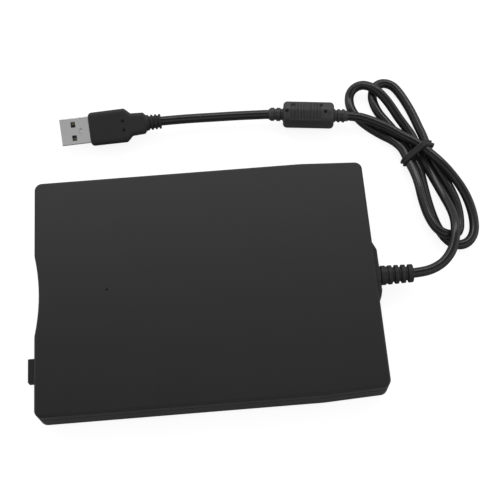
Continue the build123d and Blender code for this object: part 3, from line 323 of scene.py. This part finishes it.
def makeHandle(h):
    # each ring is r(a) = (|cos a / w|^n + |sin a / v|^n)^(-1/n), with half width w, half height v and
    # squareness n all functions of x; rings cut the relief, and the top is pressed down by a panel and pits
    x, angle = np.linspace(h["start"], h["end"], h["stepsAlong"]), roundAngles(h["stepsRound"])
    blur = np.hanning(h["blur"]) / np.hanning(h["blur"]).sum()

    def along(name):
        plain = np.interp(x, h["stations"], h[name])
        return np.convolve(np.pad(plain, h["blur"] // 2, mode="edge"), blur, "valid")

    cut = h["ringDepth"] * cutBands(x, h["rings"], h["ringHalf"], h["ringSoft"]).sum(0)
    fromFront, rear = x - h["start"], endRound(h["end"] - x, h["rearRound"])
    half = along("halfWidths") - endRound(fromFront, h["cornerRound"]) - cut - rear
    tall = along("halfHeights") - endRound(fromFront, h["edgeRound"]) - cut - rear
    power = along("squareness")[:, None]
    across, upward = np.cos(angle)[None, :], np.sin(angle)[None, :]
    sideShare, topShare = np.abs(across / half[:, None]) ** power, np.abs(upward / tall[:, None]) ** power
    radius = (sideShare + topShare) ** (-1.0 / power)
    y, z = radius * across, radius * upward
    alongX = np.broadcast_to(x[:, None], y.shape)
    panelAcross = band(y, -h["panelHalf"], h["panelHalf"], h["panelSoft"])
    press = h["panelDepth"] * band(alongX, *h["panel"], h["panelSoft"]) * panelAcross
    for pitX, pitY in h["pits"]:
        away = np.hypot(alongX - pitX, y - pitY)
        press = press + h["pitDepth"] * (1.0 - softStep(away, h["pitRadius"], h["pitSoft"]))
    grid = np.stack([alongX, y, z - press * softStep(z, h["topFrom"], h["topSoft"])], axis=-1)
    return surfaceMesh("plugHandle", placed(grid, h["tip"], h["turn"], h["roll"]))


# ---- the tie round the waist of the bundle
tie = {"middle": (98.1, 58.5), "turn": 33.0, "width": 2.8, "thickness": 1.25, "valley": 0.6,
       "valleyHalf": 0.55, "slack": 0.3, "inner": -0.05, "lowest": 0.03, "underside": 0.05, "outside": 0.2,
       "near": 14.0, "stepsRound": 260, "stepsAcross": 29}


def makeTie(t, line):
    # the band follows the strands' hull in the plane across them: at angle a it is the strand furthest that
    # way, plus radius times (cos a, sin a). Its section has a ridge along each edge and a valley between
    local = placed(line / mm - [*t["middle"], 0.0], (0.0, 0.0, 0.0), -t["turn"])  # y runs along the strands
    start, end = local[:-1], local[1:]
    fall = start[:, 1] - end[:, 1]
    share = start[:, 1] / np.where(fall == 0.0, 1.0, fall)
    crossing = start + (end - start) * share[:, None]
    crosses = (start[:, 1] * end[:, 1] < 0.0) & (np.abs(crossing[:, 0]) < t["near"])
    strands = crossing[crosses][:, [0, 2]]
    print("strands in the tie", strands.round(2).tolist())
    angle = roundAngles(t["stepsRound"])
    outward = np.stack([np.cos(angle), np.sin(angle)], axis=-1)
    furthest = strands[np.argmax(strands @ outward.T, axis=0)]
    hull = furthest + outward * (lead["radius"] / mm + t["slack"])
    across = np.linspace(-1.0, 1.0, t["stepsAcross"])
    fromMiddle = np.clip(np.abs(across) / t["valleyHalf"], 0.0, 1.0)
    ridges = t["thickness"] - t["valley"] * (1.0 - fromMiddle ** 2)
    crown = ridges * np.sqrt(1.0 - across ** 6)
    back = across[1:-1][::-1]
    sideways = np.concatenate([across, back]) * t["width"] / 2.0
    lift = np.concatenate([crown, np.full(len(back), t["inner"])])
    flat = hull[:, None, :] + outward[:, None, :] * lift[None, :, None]
    height = np.maximum(flat[..., 1], t["lowest"] + t["underside"] * (lift > t["outside"]))
    grid = np.stack([flat[..., 0], np.broadcast_to(sideways, height.shape), height], axis=-1)
    return surfaceMesh("bundleTie", placed(grid, [*t["middle"], 0.0], t["turn"]), capped=False)


sleevePiece, jacketPiece, handlePiece = makeSleeve(sleeve), makeJacket(jacket), makeHandle(handle)
tiePiece = makeTie(tie, centreLine(leadPiece))

leadNodes = ("cable_exit", "cable_hank", "cable_link", "cable_to_plug")
for piece, name, nodes in ((leadPiece, "cord_jacket", leadNodes),
                           (sleevePiece, "cord_jacket", ("strain_relief",)),
                           (jacketPiece, "cord_jacket", ("ferrite_cover",)),
                           (handlePiece, "cord_jacket", ("plug_grip",)),
                           (tiePiece, "tie_wrap", ("cable_tie",))):
    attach(piece, "case")
    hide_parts(*nodes)
print("lead's pieces made")


# ---- shader nodes
def addNode(tree, kind, inputs=None, **settings):
    # an input is linked where it's given a socket, and otherwise takes the value
    node = tree.nodes.new("ShaderNode" + kind)
    for key, value in settings.items():
        setattr(node, key, value)
    for key, value in (inputs or {}).items():
        if isinstance(value, bpy.types.NodeSocket):
            tree.links.new(value, node.inputs[key])
        else:
            node.inputs[key].default_value = value
    return node


def addMath(tree, operation, *values, clamp=False):
    return addNode(tree, "Math", dict(enumerate(values)), operation=operation, use_clamp=clamp).outputs[0]


def addVector(tree, operation, output, *values, **named):
    inputs = {**dict(enumerate(values)), **named}
    return addNode(tree, "VectorMath", inputs, operation=operation).outputs[output]


def addNoise(tree, place, scale, detail, **more):
    inputs = {"Vector": place, "Scale": scale, "Detail": detail, **more}
    return addNode(tree, "TexNoise", inputs).outputs["Fac"]


def mixColour(tree, mask, colour, other):
    return addNode(tree, "Mix", {0: mask, 6: colour, 7: other}, data_type="RGBA").outputs[2]


def mixValue(tree, mask, value, other):
    return addNode(tree, "Mix", {0: mask, 2: value, 3: other}).outputs[0]


def rising(tree, value, ends, levels=(0.0, 1.0), kind="SMOOTHSTEP"):
    # the first level before the ends and the second one past them
    inputs = {"From Min": ends[0], "From Max": ends[1], "To Min": levels[0], "To Max": levels[1]}
    return addNode(tree, "MapRange", {"Value": value, **inputs}, interpolation_type=kind).outputs[0]


def axisOf(tree, place, axis):
    return addNode(tree, "SeparateXYZ", {0: place}).outputs[axis]


# ---- shared effects: node groups, built once
groups = {}
pattern = {"swirls": 4.0, "smearTurn": (0.0, 0.0, 0.7), "smearScale": (9.0, 1.6, 3.0), "cellSoft": 0.6,
           "edgeBreak": 900.0, "edgeGain": 9.0, "drawnScale": 2600.0}


def makeGroup(wiring, output, kind, **inputs):
    # the group has the wiring's name, and each input a kind and a starting value
    tree = bpy.data.node_groups.new(wiring.__name__, "ShaderNodeTree")
    for title, (inputKind, value) in inputs.items():
        socket = tree.interface.new_socket(name=title, in_out="INPUT", socket_type="NodeSocket" + inputKind)
        if value is not None:
            socket.default_value = value
    tree.interface.new_socket(name=output, in_out="OUTPUT", socket_type="NodeSocket" + kind)
    given, results = tree.nodes.new("NodeGroupInput"), tree.nodes.new("NodeGroupOutput")
    tree.links.new(wiring(tree, given.outputs), results.inputs[output])
    groups[wiring.__name__] = tree


def colourDrift(tree, given):
    # the colour times 1 + amount x (2 noise - 1)
    noise = addNoise(tree, given["Vector"], given["Scale"], pattern["swirls"])
    swing = addMath(tree, "MULTIPLY_ADD", noise, 2.0, -1.0)
    factor = addMath(tree, "MULTIPLY_ADD", swing, given["Amount"], 1.0)
    return addVector(tree, "SCALE", 0, given["Colour"], Scale=factor)


def handledGloss(tree, given):
    # roughness that wanders in soft patches, with finer smears from hands across them
    patches = addNoise(tree, given["Vector"], given["Scale"], 2.0)
    smearPlace = addNode(tree, "Mapping", {"Vector": given["Vector"], "Rotation": pattern["smearTurn"],
                                           "Scale": pattern["smearScale"]}).outputs[0]
    smears = addNoise(tree, smearPlace, given["Scale"], 5.0, Roughness=0.6, Distortion=0.4)
    swing = addMath(tree, "ADD", addMath(tree, "ADD", patches, smears), -1.0)
    return addMath(tree, "MULTIPLY_ADD", swing, given["Spread"], given["Roughness"], clamp=True)


def mouldGrain(tree, given):
    # the fine sparked texture of a mould: small rounded cells under a finer noise
    cells = addNode(tree, "TexVoronoi", {"Vector": given["Vector"], "Scale": given["Scale"],
                                         "Smoothness": pattern["cellSoft"]}, feature="SMOOTH_F1")
    noise = addNoise(tree, given["Vector"], given["Scale"], 3.0)
    return addMath(tree, "ADD", cells.outputs["Distance"], noise)


def edgeWearAndHighlight(tree, given):
    # how far a rounded-off normal leaves the true one: 1 on an edge, 0 on a flat, broken up by noise. It
    # masks the lighter edge colour, which is part wear and part painted highlight
    bevel = addNode(tree, "Bevel", {"Radius": given["Width"]}, samples=4).outputs[0]
    normal = addNode(tree, "NewGeometry").outputs["Normal"]
    turned = addMath(tree, "SUBTRACT", 1.0, addVector(tree, "DOT_PRODUCT", "Value", bevel, normal))
    noise = addNoise(tree, given["Vector"], pattern["edgeBreak"], 3.0)
    broken = addMath(tree, "MULTIPLY", turned, noise)
    return addMath(tree, "MULTIPLY", broken, pattern["edgeGain"], clamp=True)


def drawnLines(tree, given):
    # fine lines along one way, as rolling and grinding leave them
    stretched = addVector(tree, "MULTIPLY", 0, given["Vector"], given["Stretch"])
    return addNoise(tree, stretched, pattern["drawnScale"], 4.0, Roughness=0.65)


def windingBands(tree, given):
    # round wires side by side: the height is |sin| of the place over the pitch, which the finishes also use
    # as the mask of painted shade in the grooves
    phase = addMath(tree, "MULTIPLY", addMath(tree, "DIVIDE", given["Place"], given["Pitch"]), np.pi)
    return addMath(tree, "ABSOLUTE", addMath(tree, "SINE", phase))


def scatteredSpecks(tree, given):
    # a round speck in a few of the cells of a lattice
    cells = addNode(tree, "TexVoronoi", {"Vector": given["Vector"], "Scale": given["Scale"]}).outputs
    chosen = addNode(tree, "SeparateColor", {"Color": cells["Color"]}).outputs[0]
    share = addMath(tree, "LESS_THAN", chosen, given["Share"])
    near = addMath(tree, "LESS_THAN", cells["Distance"], given["Size"])
    return addMath(tree, "MULTIPLY", share, near)


vectorInput = ("Vector", None)
makeGroup(colourDrift, "Colour", "Color", Vector=vectorInput, Colour=("Color", None), Scale=("Float", 40.0),
          Amount=("Float", 0.1))
makeGroup(handledGloss, "Roughness", "Float", Vector=vectorInput, Roughness=("Float", 0.5),
          Spread=("Float", 0.1), Scale=("Float", 30.0))
makeGroup(mouldGrain, "Height", "Float", Vector=vectorInput, Scale=("Float", 2500.0))
makeGroup(edgeWearAndHighlight, "Mask", "Float", Vector=vectorInput, Width=("Float", 0.0003))
makeGroup(drawnLines, "Height", "Float", Vector=vectorInput, Stretch=("Vector", (0.03, 1.0, 1.0)))
makeGroup(windingBands, "Height", "Float", Place=("Float", 0.0), Pitch=("Float", 0.0002))
makeGroup(scatteredSpecks, "Mask", "Float", Vector=vectorInput, Scale=("Float", 500.0), Share=("Float", 0.05),
          Size=("Float", 0.2))


def addGroup(tree, name, **inputs):
    return addNode(tree, "Group", inputs, node_tree=groups[name]).outputs[0]


# ---- finishes
def startFinish(name, **constants):
    # a material with its shader, and the place on the piece that every pattern reads
    material = bpy.data.materials.new(name)
    material.use_nodes = True
    tree = material.node_tree
    shader = tree.nodes["Principled BSDF"]
    for key, value in constants.items():
        shader.inputs[key].default_value = value
    place = addNode(tree, "TexCoord").outputs["Object"]
    return material, tree, shader, place


def solid(colour):
    return (*colour, 1.0)


def driftOf(tree, place, colour, scale, amount):
    return addGroup(tree, "colourDrift", Vector=place, Colour=colour, Scale=scale, Amount=amount)


def glossOf(tree, place, roughness, spread, scale):
    return addGroup(tree, "handledGloss", Vector=place, Roughness=roughness, Spread=spread, Scale=scale)


def specksOf(tree, place, scale, share, size):
    return addGroup(tree, "scatteredSpecks", Vector=place, Scale=scale, Share=share, Size=size)


def paint(tree, shader, colour, roughness, metallic=None):
    for key, socket in (("Base Color", colour), ("Roughness", roughness), ("Metallic", metallic)):
        if socket is not None:
            tree.links.new(socket, shader.inputs[key])


def setBump(tree, shader, height, distance, strength):
    bump = addNode(tree, "Bump", {"Height": height, "Distance": distance, "Strength": strength})
    tree.links.new(bump.outputs["Normal"], shader.inputs["Normal"])


def setGrain(tree, shader, place, scale, depth, strength):
    setBump(tree, shader, addGroup(tree, "mouldGrain", Vector=place, Scale=scale), depth, strength)


# the edge colour is lighter than the body: part wear, part painted highlight
casing = {"colour": (0.0080, 0.0080, 0.0082), "drift": 0.07, "driftScale": 14.0, "roughness": 0.44,
          "spread": 0.05, "glossScale": 16.0, "grainScale": 2600.0, "grainDepth": 0.000012,
          "grainStrength": 0.6, "edgeWidth": 0.0005, "edgeWearAndHighlightColour": (0.021, 0.021, 0.0215),
          "edgeRoughness": 0.34, "dust": (0.10, 0.10, 0.10), "dustScale": 420.0, "dustShare": 0.012,
          "dustSize": 0.06, "dustStrength": 0.35}


def casePlastic(c):
    # fine matt black moulding: sparked grain, edges polished by handling and lighter in colour as part wear
    # and part painted highlight, a few specks of dust
    material, tree, shader, place = startFinish("casePlastic", IOR=1.5)
    drifted = driftOf(tree, place, solid(c["colour"]), c["driftScale"], c["drift"])
    # lighter edges: part wear, part painted highlight
    edge = addGroup(tree, "edgeWearAndHighlight", Vector=place, Width=c["edgeWidth"])
    wornAndHighlit = mixColour(tree, edge, drifted, solid(c["edgeWearAndHighlightColour"]))
    speck = specksOf(tree, place, c["dustScale"], c["dustShare"], c["dustSize"])
    faint = addMath(tree, "MULTIPLY", speck, c["dustStrength"])
    gloss = glossOf(tree, place, c["roughness"], c["spread"], c["glossScale"])
    paint(tree, shader, mixColour(tree, faint, wornAndHighlit, solid(c["dust"])),
          mixValue(tree, edge, gloss, c["edgeRoughness"]))
    setGrain(tree, shader, place, c["grainScale"], c["grainDepth"], c["grainStrength"])
    return material


moulded = {"edgeWidth": 0.0003, "grainStrength": 0.7}


def mouldedFinish(name, colour, roughness, spread, grainScale, grainDepth, drift, driftScale,
                  edgeWearAndHighlightColour=None, **constants):
    # any other moulded piece: drifting colour, patchy gloss and a grain, with lighter edges if given, part
    # wear and part painted highlight
    material, tree, shader, place = startFinish(name, **constants)
    tinted = driftOf(tree, place, solid(colour), driftScale, drift)
    if edgeWearAndHighlightColour is not None:
        # lighter edges: part wear, part painted highlight
        edge = addGroup(tree, "edgeWearAndHighlight", Vector=place, Width=moulded["edgeWidth"])
        tinted = mixColour(tree, edge, tinted, solid(edgeWearAndHighlightColour))
    paint(tree, shader, tinted, glossOf(tree, place, roughness, spread, driftScale))
    setGrain(tree, shader, place, grainScale, grainDepth, moulded["grainStrength"])
    return material


metal = {"edgeWidth": 0.00015, "speckRoughness": 0.7, "lineStrength": 0.5}


def metalFinish(name, colour, roughness, spread, stretch, lineDepth, drift, driftScale,
                edgeWearAndHighlightColour=None, specks=None, speckColour=None):
    # plated, ground or rolled metal: fine lines one way, drifting tone, bright edges as part wear and part
    # painted highlight, and pores or stains
    material, tree, shader, place = startFinish(name, Metallic=1.0)
    tone = driftOf(tree, place, solid(colour), driftScale, drift)
    if edgeWearAndHighlightColour is not None:
        # bright edges: part wear, part painted highlight
        edge = addGroup(tree, "edgeWearAndHighlight", Vector=place, Width=metal["edgeWidth"])
        tone = mixColour(tree, edge, tone, solid(edgeWearAndHighlightColour))
    gloss = glossOf(tree, place, roughness, spread, driftScale)
    if specks is not None:
        spot = specksOf(tree, place, *specks)
        tone = mixColour(tree, spot, tone, solid(speckColour))
        gloss = mixValue(tree, spot, gloss, metal["speckRoughness"])
    paint(tree, shader, tone, gloss)
    lines = addGroup(tree, "drawnLines", Vector=place, Stretch=stretch)
    setBump(tree, shader, lines, lineDepth, metal["lineStrength"])
    return material


winding = {"gap": 0.25, "drift": 0.1, "driftScale": 300.0, "spread": 0.08, "glossScale": 200.0, "depth": 0.35}


def windingFinish(name, colour, roughness, pitch, axis=None, middle=None, metallic=0.0, **constants):
    # wire laid side by side: bands along one axis, or rings about an upright middle, with painted shade in
    # the grooves between the turns
    material, tree, shader, place = startFinish(name, Metallic=metallic, **constants)
    if axis is None:
        centred = addVector(tree, "SUBTRACT", 0, place, middle)
        flat = addVector(tree, "MULTIPLY", 0, centred, (1.0, 1.0, 0.0))
        along = addVector(tree, "LENGTH", "Value", flat)
    else:
        along = axisOf(tree, place, axis)
    bands = addGroup(tree, "windingBands", Place=along, Pitch=pitch)
    # the grooves between turns are darkened: painted shade
    gapColour = tuple(winding["gap"] * part for part in colour)
    shade = mixColour(tree, bands, solid(gapColour), solid(colour))
    paint(tree, shader, driftOf(tree, place, shade, winding["driftScale"], winding["drift"]),
          glossOf(tree, place, roughness, winding["spread"], winding["glossScale"]))
    setBump(tree, shader, bands, winding["depth"] * pitch, 1.0)
    return material


boardLook = {"mask": (0.010, 0.085, 0.035), "track": (0.022, 0.15, 0.06), "pad": (0.62, 0.60, 0.55),
             "lanes": (0.0026, 0.0041), "brickLength": 2.7, "trackWidth": 0.00022, "trackSoft": 0.2,
             "pads": (360.0, 0.16, 0.28), "drift": 0.12, "roughness": 0.3, "spread": 0.06, "scale": 80.0,
             "raised": 0.00004, "strength": 0.8,
             "shader": {"IOR": 1.5, "Coat Weight": 0.4, "Coat Roughness": 0.12}}


def circuitBoard(name, b, turn):
    # solder mask over copper: tracks where two runs of bricks leave their joints, tinned pads as specks
    material, tree, shader, place = startFinish(name, **b["shader"])
    lanes = []
    for size, angle in zip(b["lanes"], (turn, turn + np.pi / 2.0)):
        aligned = addNode(tree, "Mapping", {"Vector": place, "Rotation": (0.0, 0.0, angle)}).outputs[0]
        bricks = {"Vector": aligned, "Scale": 1.0, "Mortar Size": b["trackWidth"], "Bias": 0.0,
                  "Mortar Smooth": b["trackSoft"], "Brick Width": size * b["brickLength"], "Row Height": size}
        lanes.append(addNode(tree, "TexBrick", bricks).outputs["Fac"])
    tracks = addMath(tree, "MAXIMUM", *lanes, clamp=True)
    pads = specksOf(tree, place, *b["pads"])
    green = mixColour(tree, tracks, solid(b["mask"]), solid(b["track"]))
    drifted = driftOf(tree, place, green, b["scale"], b["drift"])
    gloss = glossOf(tree, place, b["roughness"], b["spread"], b["scale"])
    paint(tree, shader, mixColour(tree, pads, drifted, solid(b["pad"])), gloss, pads)
    setBump(tree, shader, addMath(tree, "ADD", tracks, pads), b["raised"], b["strength"])
    return material


wires = {"half": 0.0024, "red": (0.45, 0.02, 0.015), "white": (0.75, 0.74, 0.70), "green": (0.02, 0.30, 0.06),
         "black": (0.015, 0.015, 0.015), "drift": (400.0, 0.08), "gloss": (0.35, 0.08, 300.0),
         "grain": (3000.0, 0.00001, 0.5)}


def leadWires(w):
    # four insulated wires told apart by colour, from one side of the lead to the other
    material, tree, shader, place = startFinish("leadWires", IOR=1.5)
    spread = rising(tree, axisOf(tree, place, "Y"), (-w["half"], w["half"]), kind="LINEAR")
    ramp = addNode(tree, "ValToRGB", {"Fac": spread})
    elements = ramp.color_ramp.elements
    ramp.color_ramp.interpolation = "CONSTANT"
    for _ in range(2):
        elements.new(0.5)
    for element, start, name in zip(elements, (0.0, 0.25, 0.5, 0.75), ("red", "white", "green", "black")):
        element.position, element.color = start, solid(w[name])
    tone = driftOf(tree, place, ramp.outputs[0], *w["drift"])
    paint(tree, shader, tone, glossOf(tree, place, *w["gloss"]))
    setGrain(tree, shader, place, *w["grain"])
    return material


ribbon = {"gap": (0.50, 0.49, 0.46), "film": (0.72, 0.71, 0.67), "pitch": 0.0005, "depth": 0.00006,
          "drift": (200.0, 0.05), "gloss": (0.38, 0.08, 150.0)}


def flatRibbon(r):
    # white film over parallel conductors, which show as faint ridges with painted shade between them
    material, tree, shader, place = startFinish("flatRibbon", IOR=1.5)
    ridges = addGroup(tree, "windingBands", Place=axisOf(tree, place, "Y"), Pitch=r["pitch"])
    # the dips between conductors are darkened: painted shade
    shade = mixColour(tree, ridges, solid(r["gap"]), solid(r["film"]))
    paint(tree, shader, driftOf(tree, place, shade, *r["drift"]), glossOf(tree, place, *r["gloss"]))
    setBump(tree, shader, ridges, r["depth"], 1.0)
    return material


lens = {"colour": (0.55, 0.72, 0.58), "drift": (300.0, 0.06), "gloss": (0.16, 0.08, 300.0),
        "grain": (1800.0, 0.000008, 0.4), "shader": {"IOR": 1.49, "Transmission Weight": 0.75}}


def lightPipe(l):
    # clear moulding with a faint grain and a frosted tone in its gloss
    material, tree, shader, place = startFinish("lightPipe", **l["shader"])
    tone = driftOf(tree, place, solid(l["colour"]), *l["drift"])
    paint(tree, shader, tone, glossOf(tree, place, *l["gloss"]))
    setGrain(tree, shader, place, *l["grain"])
    return material


rotorLow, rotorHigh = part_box("spindle_rotor")
spindleMiddle = Vector(((rotorLow[0] + rotorHigh[0]) / 2.0, 0.0, 0.0))
wayX, wayY, allWays = (0.03, 1.0, 1.0), (1.0, 0.03, 1.0), (1.0, 1.0, 1.0)
# moulded: colour, roughness and its spread, grain's scale and depth, drift and its scale, edge's colour (wear
# and painted highlight)
# metal: colour, roughness and its spread, way of the lines and their depth, drift and its scale, edge's
# colour (wear and painted highlight), then the specks' scale, share and size, and their colour
finishes = {
    "case_plastic": casePlastic(casing),
    "foot_rubber": mouldedFinish("footRubber", (0.016, 0.016, 0.016), 0.78, 0.1, 1600.0, 0.00004, 0.15, 90.0,
                                 (0.04, 0.04, 0.038)),
    "inner_plastic": mouldedFinish("innerPlastic", (0.035, 0.035, 0.037), 0.55, 0.1, 2200.0, 0.00002,
                                   0.12, 120.0, (0.07, 0.07, 0.072)),
    "cord_jacket": mouldedFinish("leadJacket", (0.0145, 0.0145, 0.0148), 0.22, 0.08, 1500.0, 0.000012,
                                 0.12, 70.0, (0.03, 0.03, 0.0305), IOR=1.5),
    "tie_wrap": mouldedFinish("tieWrap", (0.018, 0.018, 0.0185), 0.50, 0.1, 1800.0, 0.00002, 0.12, 150.0,
                              (0.035, 0.035, 0.036)),
    "head_ceramic": mouldedFinish("headCeramic", (0.66, 0.63, 0.56), 0.18, 0.06, 2600.0, 0.000004,
                                  0.05, 200.0),
    "plug_insert": mouldedFinish("plugInsert", (0.028, 0.028, 0.03), 0.42, 0.1, 2400.0, 0.00001, 0.1, 200.0,
                                 (0.06, 0.06, 0.062)),
    "chip": mouldedFinish("epoxyBlack", (0.02, 0.02, 0.021), 0.62, 0.08, 3200.0, 0.00002, 0.12, 200.0,
                          (0.05, 0.05, 0.05)),
    "magnet": mouldedFinish("sinteredFerrite", (0.055, 0.055, 0.057), 0.72, 0.12, 2000.0, 0.00005, 0.2, 300.0,
                            (0.12, 0.12, 0.12)),
    "lamp_green": mouldedFinish("lampGreen", (0.05, 0.42, 0.10), 0.2, 0.06, 1500.0, 0.000005, 0.06, 250.0,
                                **{"IOR": 1.5, "Transmission Weight": 0.35}),
    "screw_steel": metalFinish("zincScrew", (0.52, 0.52, 0.50), 0.34, 0.12, allWays, 0.00001, 0.14, 400.0,
                               (0.75, 0.75, 0.73), (900.0, 0.06, 0.2), (0.22, 0.21, 0.2)),
    "sheet_steel": metalFinish("zincSheet", (0.56, 0.57, 0.58), 0.36, 0.12, wayX, 0.00001, 0.1, 70.0,
                               (0.78, 0.78, 0.79), (700.0, 0.05, 0.16), (0.33, 0.33, 0.32)),
    "shaft_steel": metalFinish("groundShaft", (0.62, 0.62, 0.63), 0.16, 0.05, wayX, 0.000004, 0.05, 150.0,
                               (0.82, 0.82, 0.83)),
    "motor_metal": metalFinish("motorMetal", (0.50, 0.50, 0.52), 0.42, 0.1, allWays, 0.000012, 0.1, 120.0,
                               (0.7, 0.7, 0.71)),
    "bronze": metalFinish("sinteredBronze", (0.52, 0.34, 0.16), 0.48, 0.1, allWays, 0.00002, 0.16, 500.0,
                          None, (2600.0, 0.35, 0.3), (0.10, 0.06, 0.03)),
    "plug_metal": metalFinish("platedShell", (0.72, 0.72, 0.725), 0.34, 0.1, wayX, 0.000006, 0.07, 160.0,
                              (0.88, 0.88, 0.89), (1400.0, 0.05, 0.14), (0.30, 0.30, 0.30)),
    # the gold is darkened and greyed as painted shade, for the shadow inside the plug's shell
    "contact_gold": metalFinish("shadeDarkenedGoldContact", (0.22, 0.19, 0.145), 0.38, 0.08, wayX, 0.000004, 0.08, 400.0,
                                (0.5, 0.43, 0.3)),
    "copper": windingFinish("enamelledCopper", (0.48, 0.16, 0.06), 0.26, 0.00022, middle=spindleMiddle,
                            metallic=0.85, **{"Coat Weight": 0.5, "Coat Roughness": 0.1}),
    "board": circuitBoard("driveBoard", boardLook, 0.0),
    "ribbon": flatRibbon(ribbon),
    "wire": leadWires(wires),
    "lens_clear": lightPipe(lens),
}
# nodes whose finish runs another way than their slot's
springColour, pinColour = (0.55, 0.55, 0.54), (0.60, 0.60, 0.61)
nodeFinishes = {
    "flap_spring": windingFinish("flapSpringWire", springColour, 0.3, 0.00022, axis="Y", metallic=1.0),
    "slider_spring": windingFinish("sliderSpringWire", springColour, 0.3, 0.00035, axis="X", metallic=1.0),
    "flap_rod": metalFinish("flapRodSteel", pinColour, 0.2, 0.06, wayY, 0.000004, 0.05, 200.0),
    "arm_pin": metalFinish("armPinSteel", pinColour, 0.2, 0.06, wayY, 0.000004, 0.05, 200.0),
    "sensor_board": circuitBoard("sensorBoard", boardLook, np.pi / 2.0),
    "usb_board": circuitBoard("usbBoard", boardLook, np.pi / 2.0),
}

for name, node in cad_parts.items():
    for materialSlot in node.material_slots:
        key = materialSlot.material.name.split(".")[0] if materialSlot.material else ""
        if name in nodeFinishes:
            materialSlot.material = nodeFinishes[name]
        elif key in finishes:
            materialSlot.material = finishes[key]
        else:
            print("no finish for", name, key)
# a lighter copy of the lead jacket's colour: painted light for the light its rounded top catches
ferriteLitJacketFinish = mouldedFinish("ferriteJacket", (0.034, 0.034, 0.0345), 0.44, 0.1, 1500.0, 0.000016, 0.12, 70.0,
                             (0.045, 0.045, 0.0455), IOR=1.5)
gripFinish = mouldedFinish("gripJacket", (0.0175, 0.0175, 0.0178), 0.56, 0.1, 1500.0, 0.000016, 0.12, 70.0,
                           (0.024, 0.024, 0.0245), IOR=1.45)
for piece, finish in ((leadPiece, finishes["cord_jacket"]), (tiePiece, finishes["tie_wrap"]),
                      (sleevePiece, gripFinish), (handlePiece, gripFinish), (jacketPiece, ferriteLitJacketFinish)):
    piece.data.materials.append(finish)
print("finishes made")

# ---- floor, world and lamps
studio = {"floorHalf": 1.6, "floorLow": -0.00005, "floorColour": (0.24, 0.24, 0.24), "floorRoughness": 0.9,
          "floorDrift": (3.0, 0.01), "floorOwnLight": 0.86, "floorInGloss": 0.05,
          "horizon": 1.0, "overhead": 0.05, "fall": (0.15, 0.85), "sideCard": 0.35, "cardEdge": (0.25, 0.55),
          "frontLeft": 0.15, "frontRight": 0.4, "frontSides": (-0.3, 0.3), "frontHigh": 0.66,
          "frontRise": (0.4, 0.75), "frontEdge": (-0.3, -0.5), "ambient": 0.72, "aim": (0.03, 0.02, 0.0),
          "lamps": {"key": {"place": (0.02, 0.95, 1.2), "size": (1.8, 0.36), "watts": 7.1},
                    "fill": {"place": (0.9, -0.5, 0.8), "size": (1.2, 1.2), "watts": 0.7}}}
white = (1.0, 1.0, 1.0, 1.0)


def makeFloor(s):
    half, low = s["floorHalf"], s["floorLow"]
    corners = [(-half, -half, low), (half, -half, low), (half, half, low), (-half, half, low)]
    mesh = bpy.data.meshes.new("floor")
    mesh.from_pydata(corners, [], [(0, 1, 2, 3)])
    material, tree, shader, place = startFinish("paleFloor", Roughness=s["floorRoughness"])
    paint(tree, shader, driftOf(tree, place, solid(s["floorColour"]), *s["floorDrift"]), None)
    # the floor's own light fills up what the lamps leave short of white, and its shadows stay
    path = addNode(tree, "LightPath").outputs
    through = addMath(tree, "MAXIMUM", path["Is Camera Ray"], path["Is Transmission Ray"])
    inGloss = addMath(tree, "MULTIPLY", path["Is Glossy Ray"], s["floorInGloss"])
    strength = addMath(tree, "MULTIPLY_ADD", through, s["floorOwnLight"], inGloss)
    glow = addNode(tree, "Emission", {"Color": white, "Strength": strength}).outputs[0]
    both = addNode(tree, "AddShader", {0: shader.outputs[0], 1: glow}).outputs[0]
    tree.links.new(both, tree.nodes["Material Output"].inputs["Surface"])
    mesh.materials.append(material)
    addPiece("floor", mesh)


def makeWorld(s):
    # the camera sees white; gloss sees white at the horizon, little overhead, a pale card at either side and
    # a dim front that is lighter to the right and higher up; the rest is an even ambient
    world = bpy.data.worlds.new("studio")
    world.use_nodes = True
    tree = world.node_tree
    path = addNode(tree, "LightPath").outputs
    mirrored = addMath(tree, "MAXIMUM", path["Is Glossy Ray"], path["Is Transmission Ray"])
    seen = addMath(tree, "MAXIMUM", path["Is Camera Ray"], mirrored)
    way = addNode(tree, "SeparateXYZ", {0: addNode(tree, "TexCoord").outputs["Generated"]}).outputs
    falling = rising(tree, way["Z"], s["fall"], (s["horizon"], s["overhead"]))
    card = rising(tree, addMath(tree, "ABSOLUTE", way["X"]), s["cardEdge"], (0.0, s["sideCard"]))
    around = addMath(tree, "MAXIMUM", falling, card)
    low = rising(tree, way["X"], s["frontSides"], (s["frontLeft"], s["frontRight"]), "LINEAR")
    front = mixValue(tree, rising(tree, way["Z"], s["frontRise"]), low, s["frontHigh"])
    inGloss = mixValue(tree, rising(tree, way["Y"], s["frontEdge"]), around, front)
    shown = mixValue(tree, path["Is Camera Ray"], inGloss, 1.0)
    background = tree.nodes["Background"].inputs
    background["Color"].default_value = white
    tree.links.new(mixValue(tree, seen, s["ambient"], shown), background["Strength"])
    bpy.context.scene.world = world


def makeLamps(s):
    for name, lamp in s["lamps"].items():
        data = bpy.data.lights.new(name, "AREA")
        data.shape = "RECTANGLE"
        (data.size, data.size_y), data.energy = lamp["size"], lamp["watts"]
        light = addPiece(name, data)
        light.location = lamp["place"]
        aim = Vector(s["aim"]) - Vector(lamp["place"])
        light.rotation_euler = aim.to_track_quat("-Z", "Y").to_euler()


makeFloor(studio)
makeWorld(studio)
makeLamps(studio)
bpy.context.scene.view_settings.view_transform = "Standard"
print("studio lit")

bpy.context.view_layer.update()
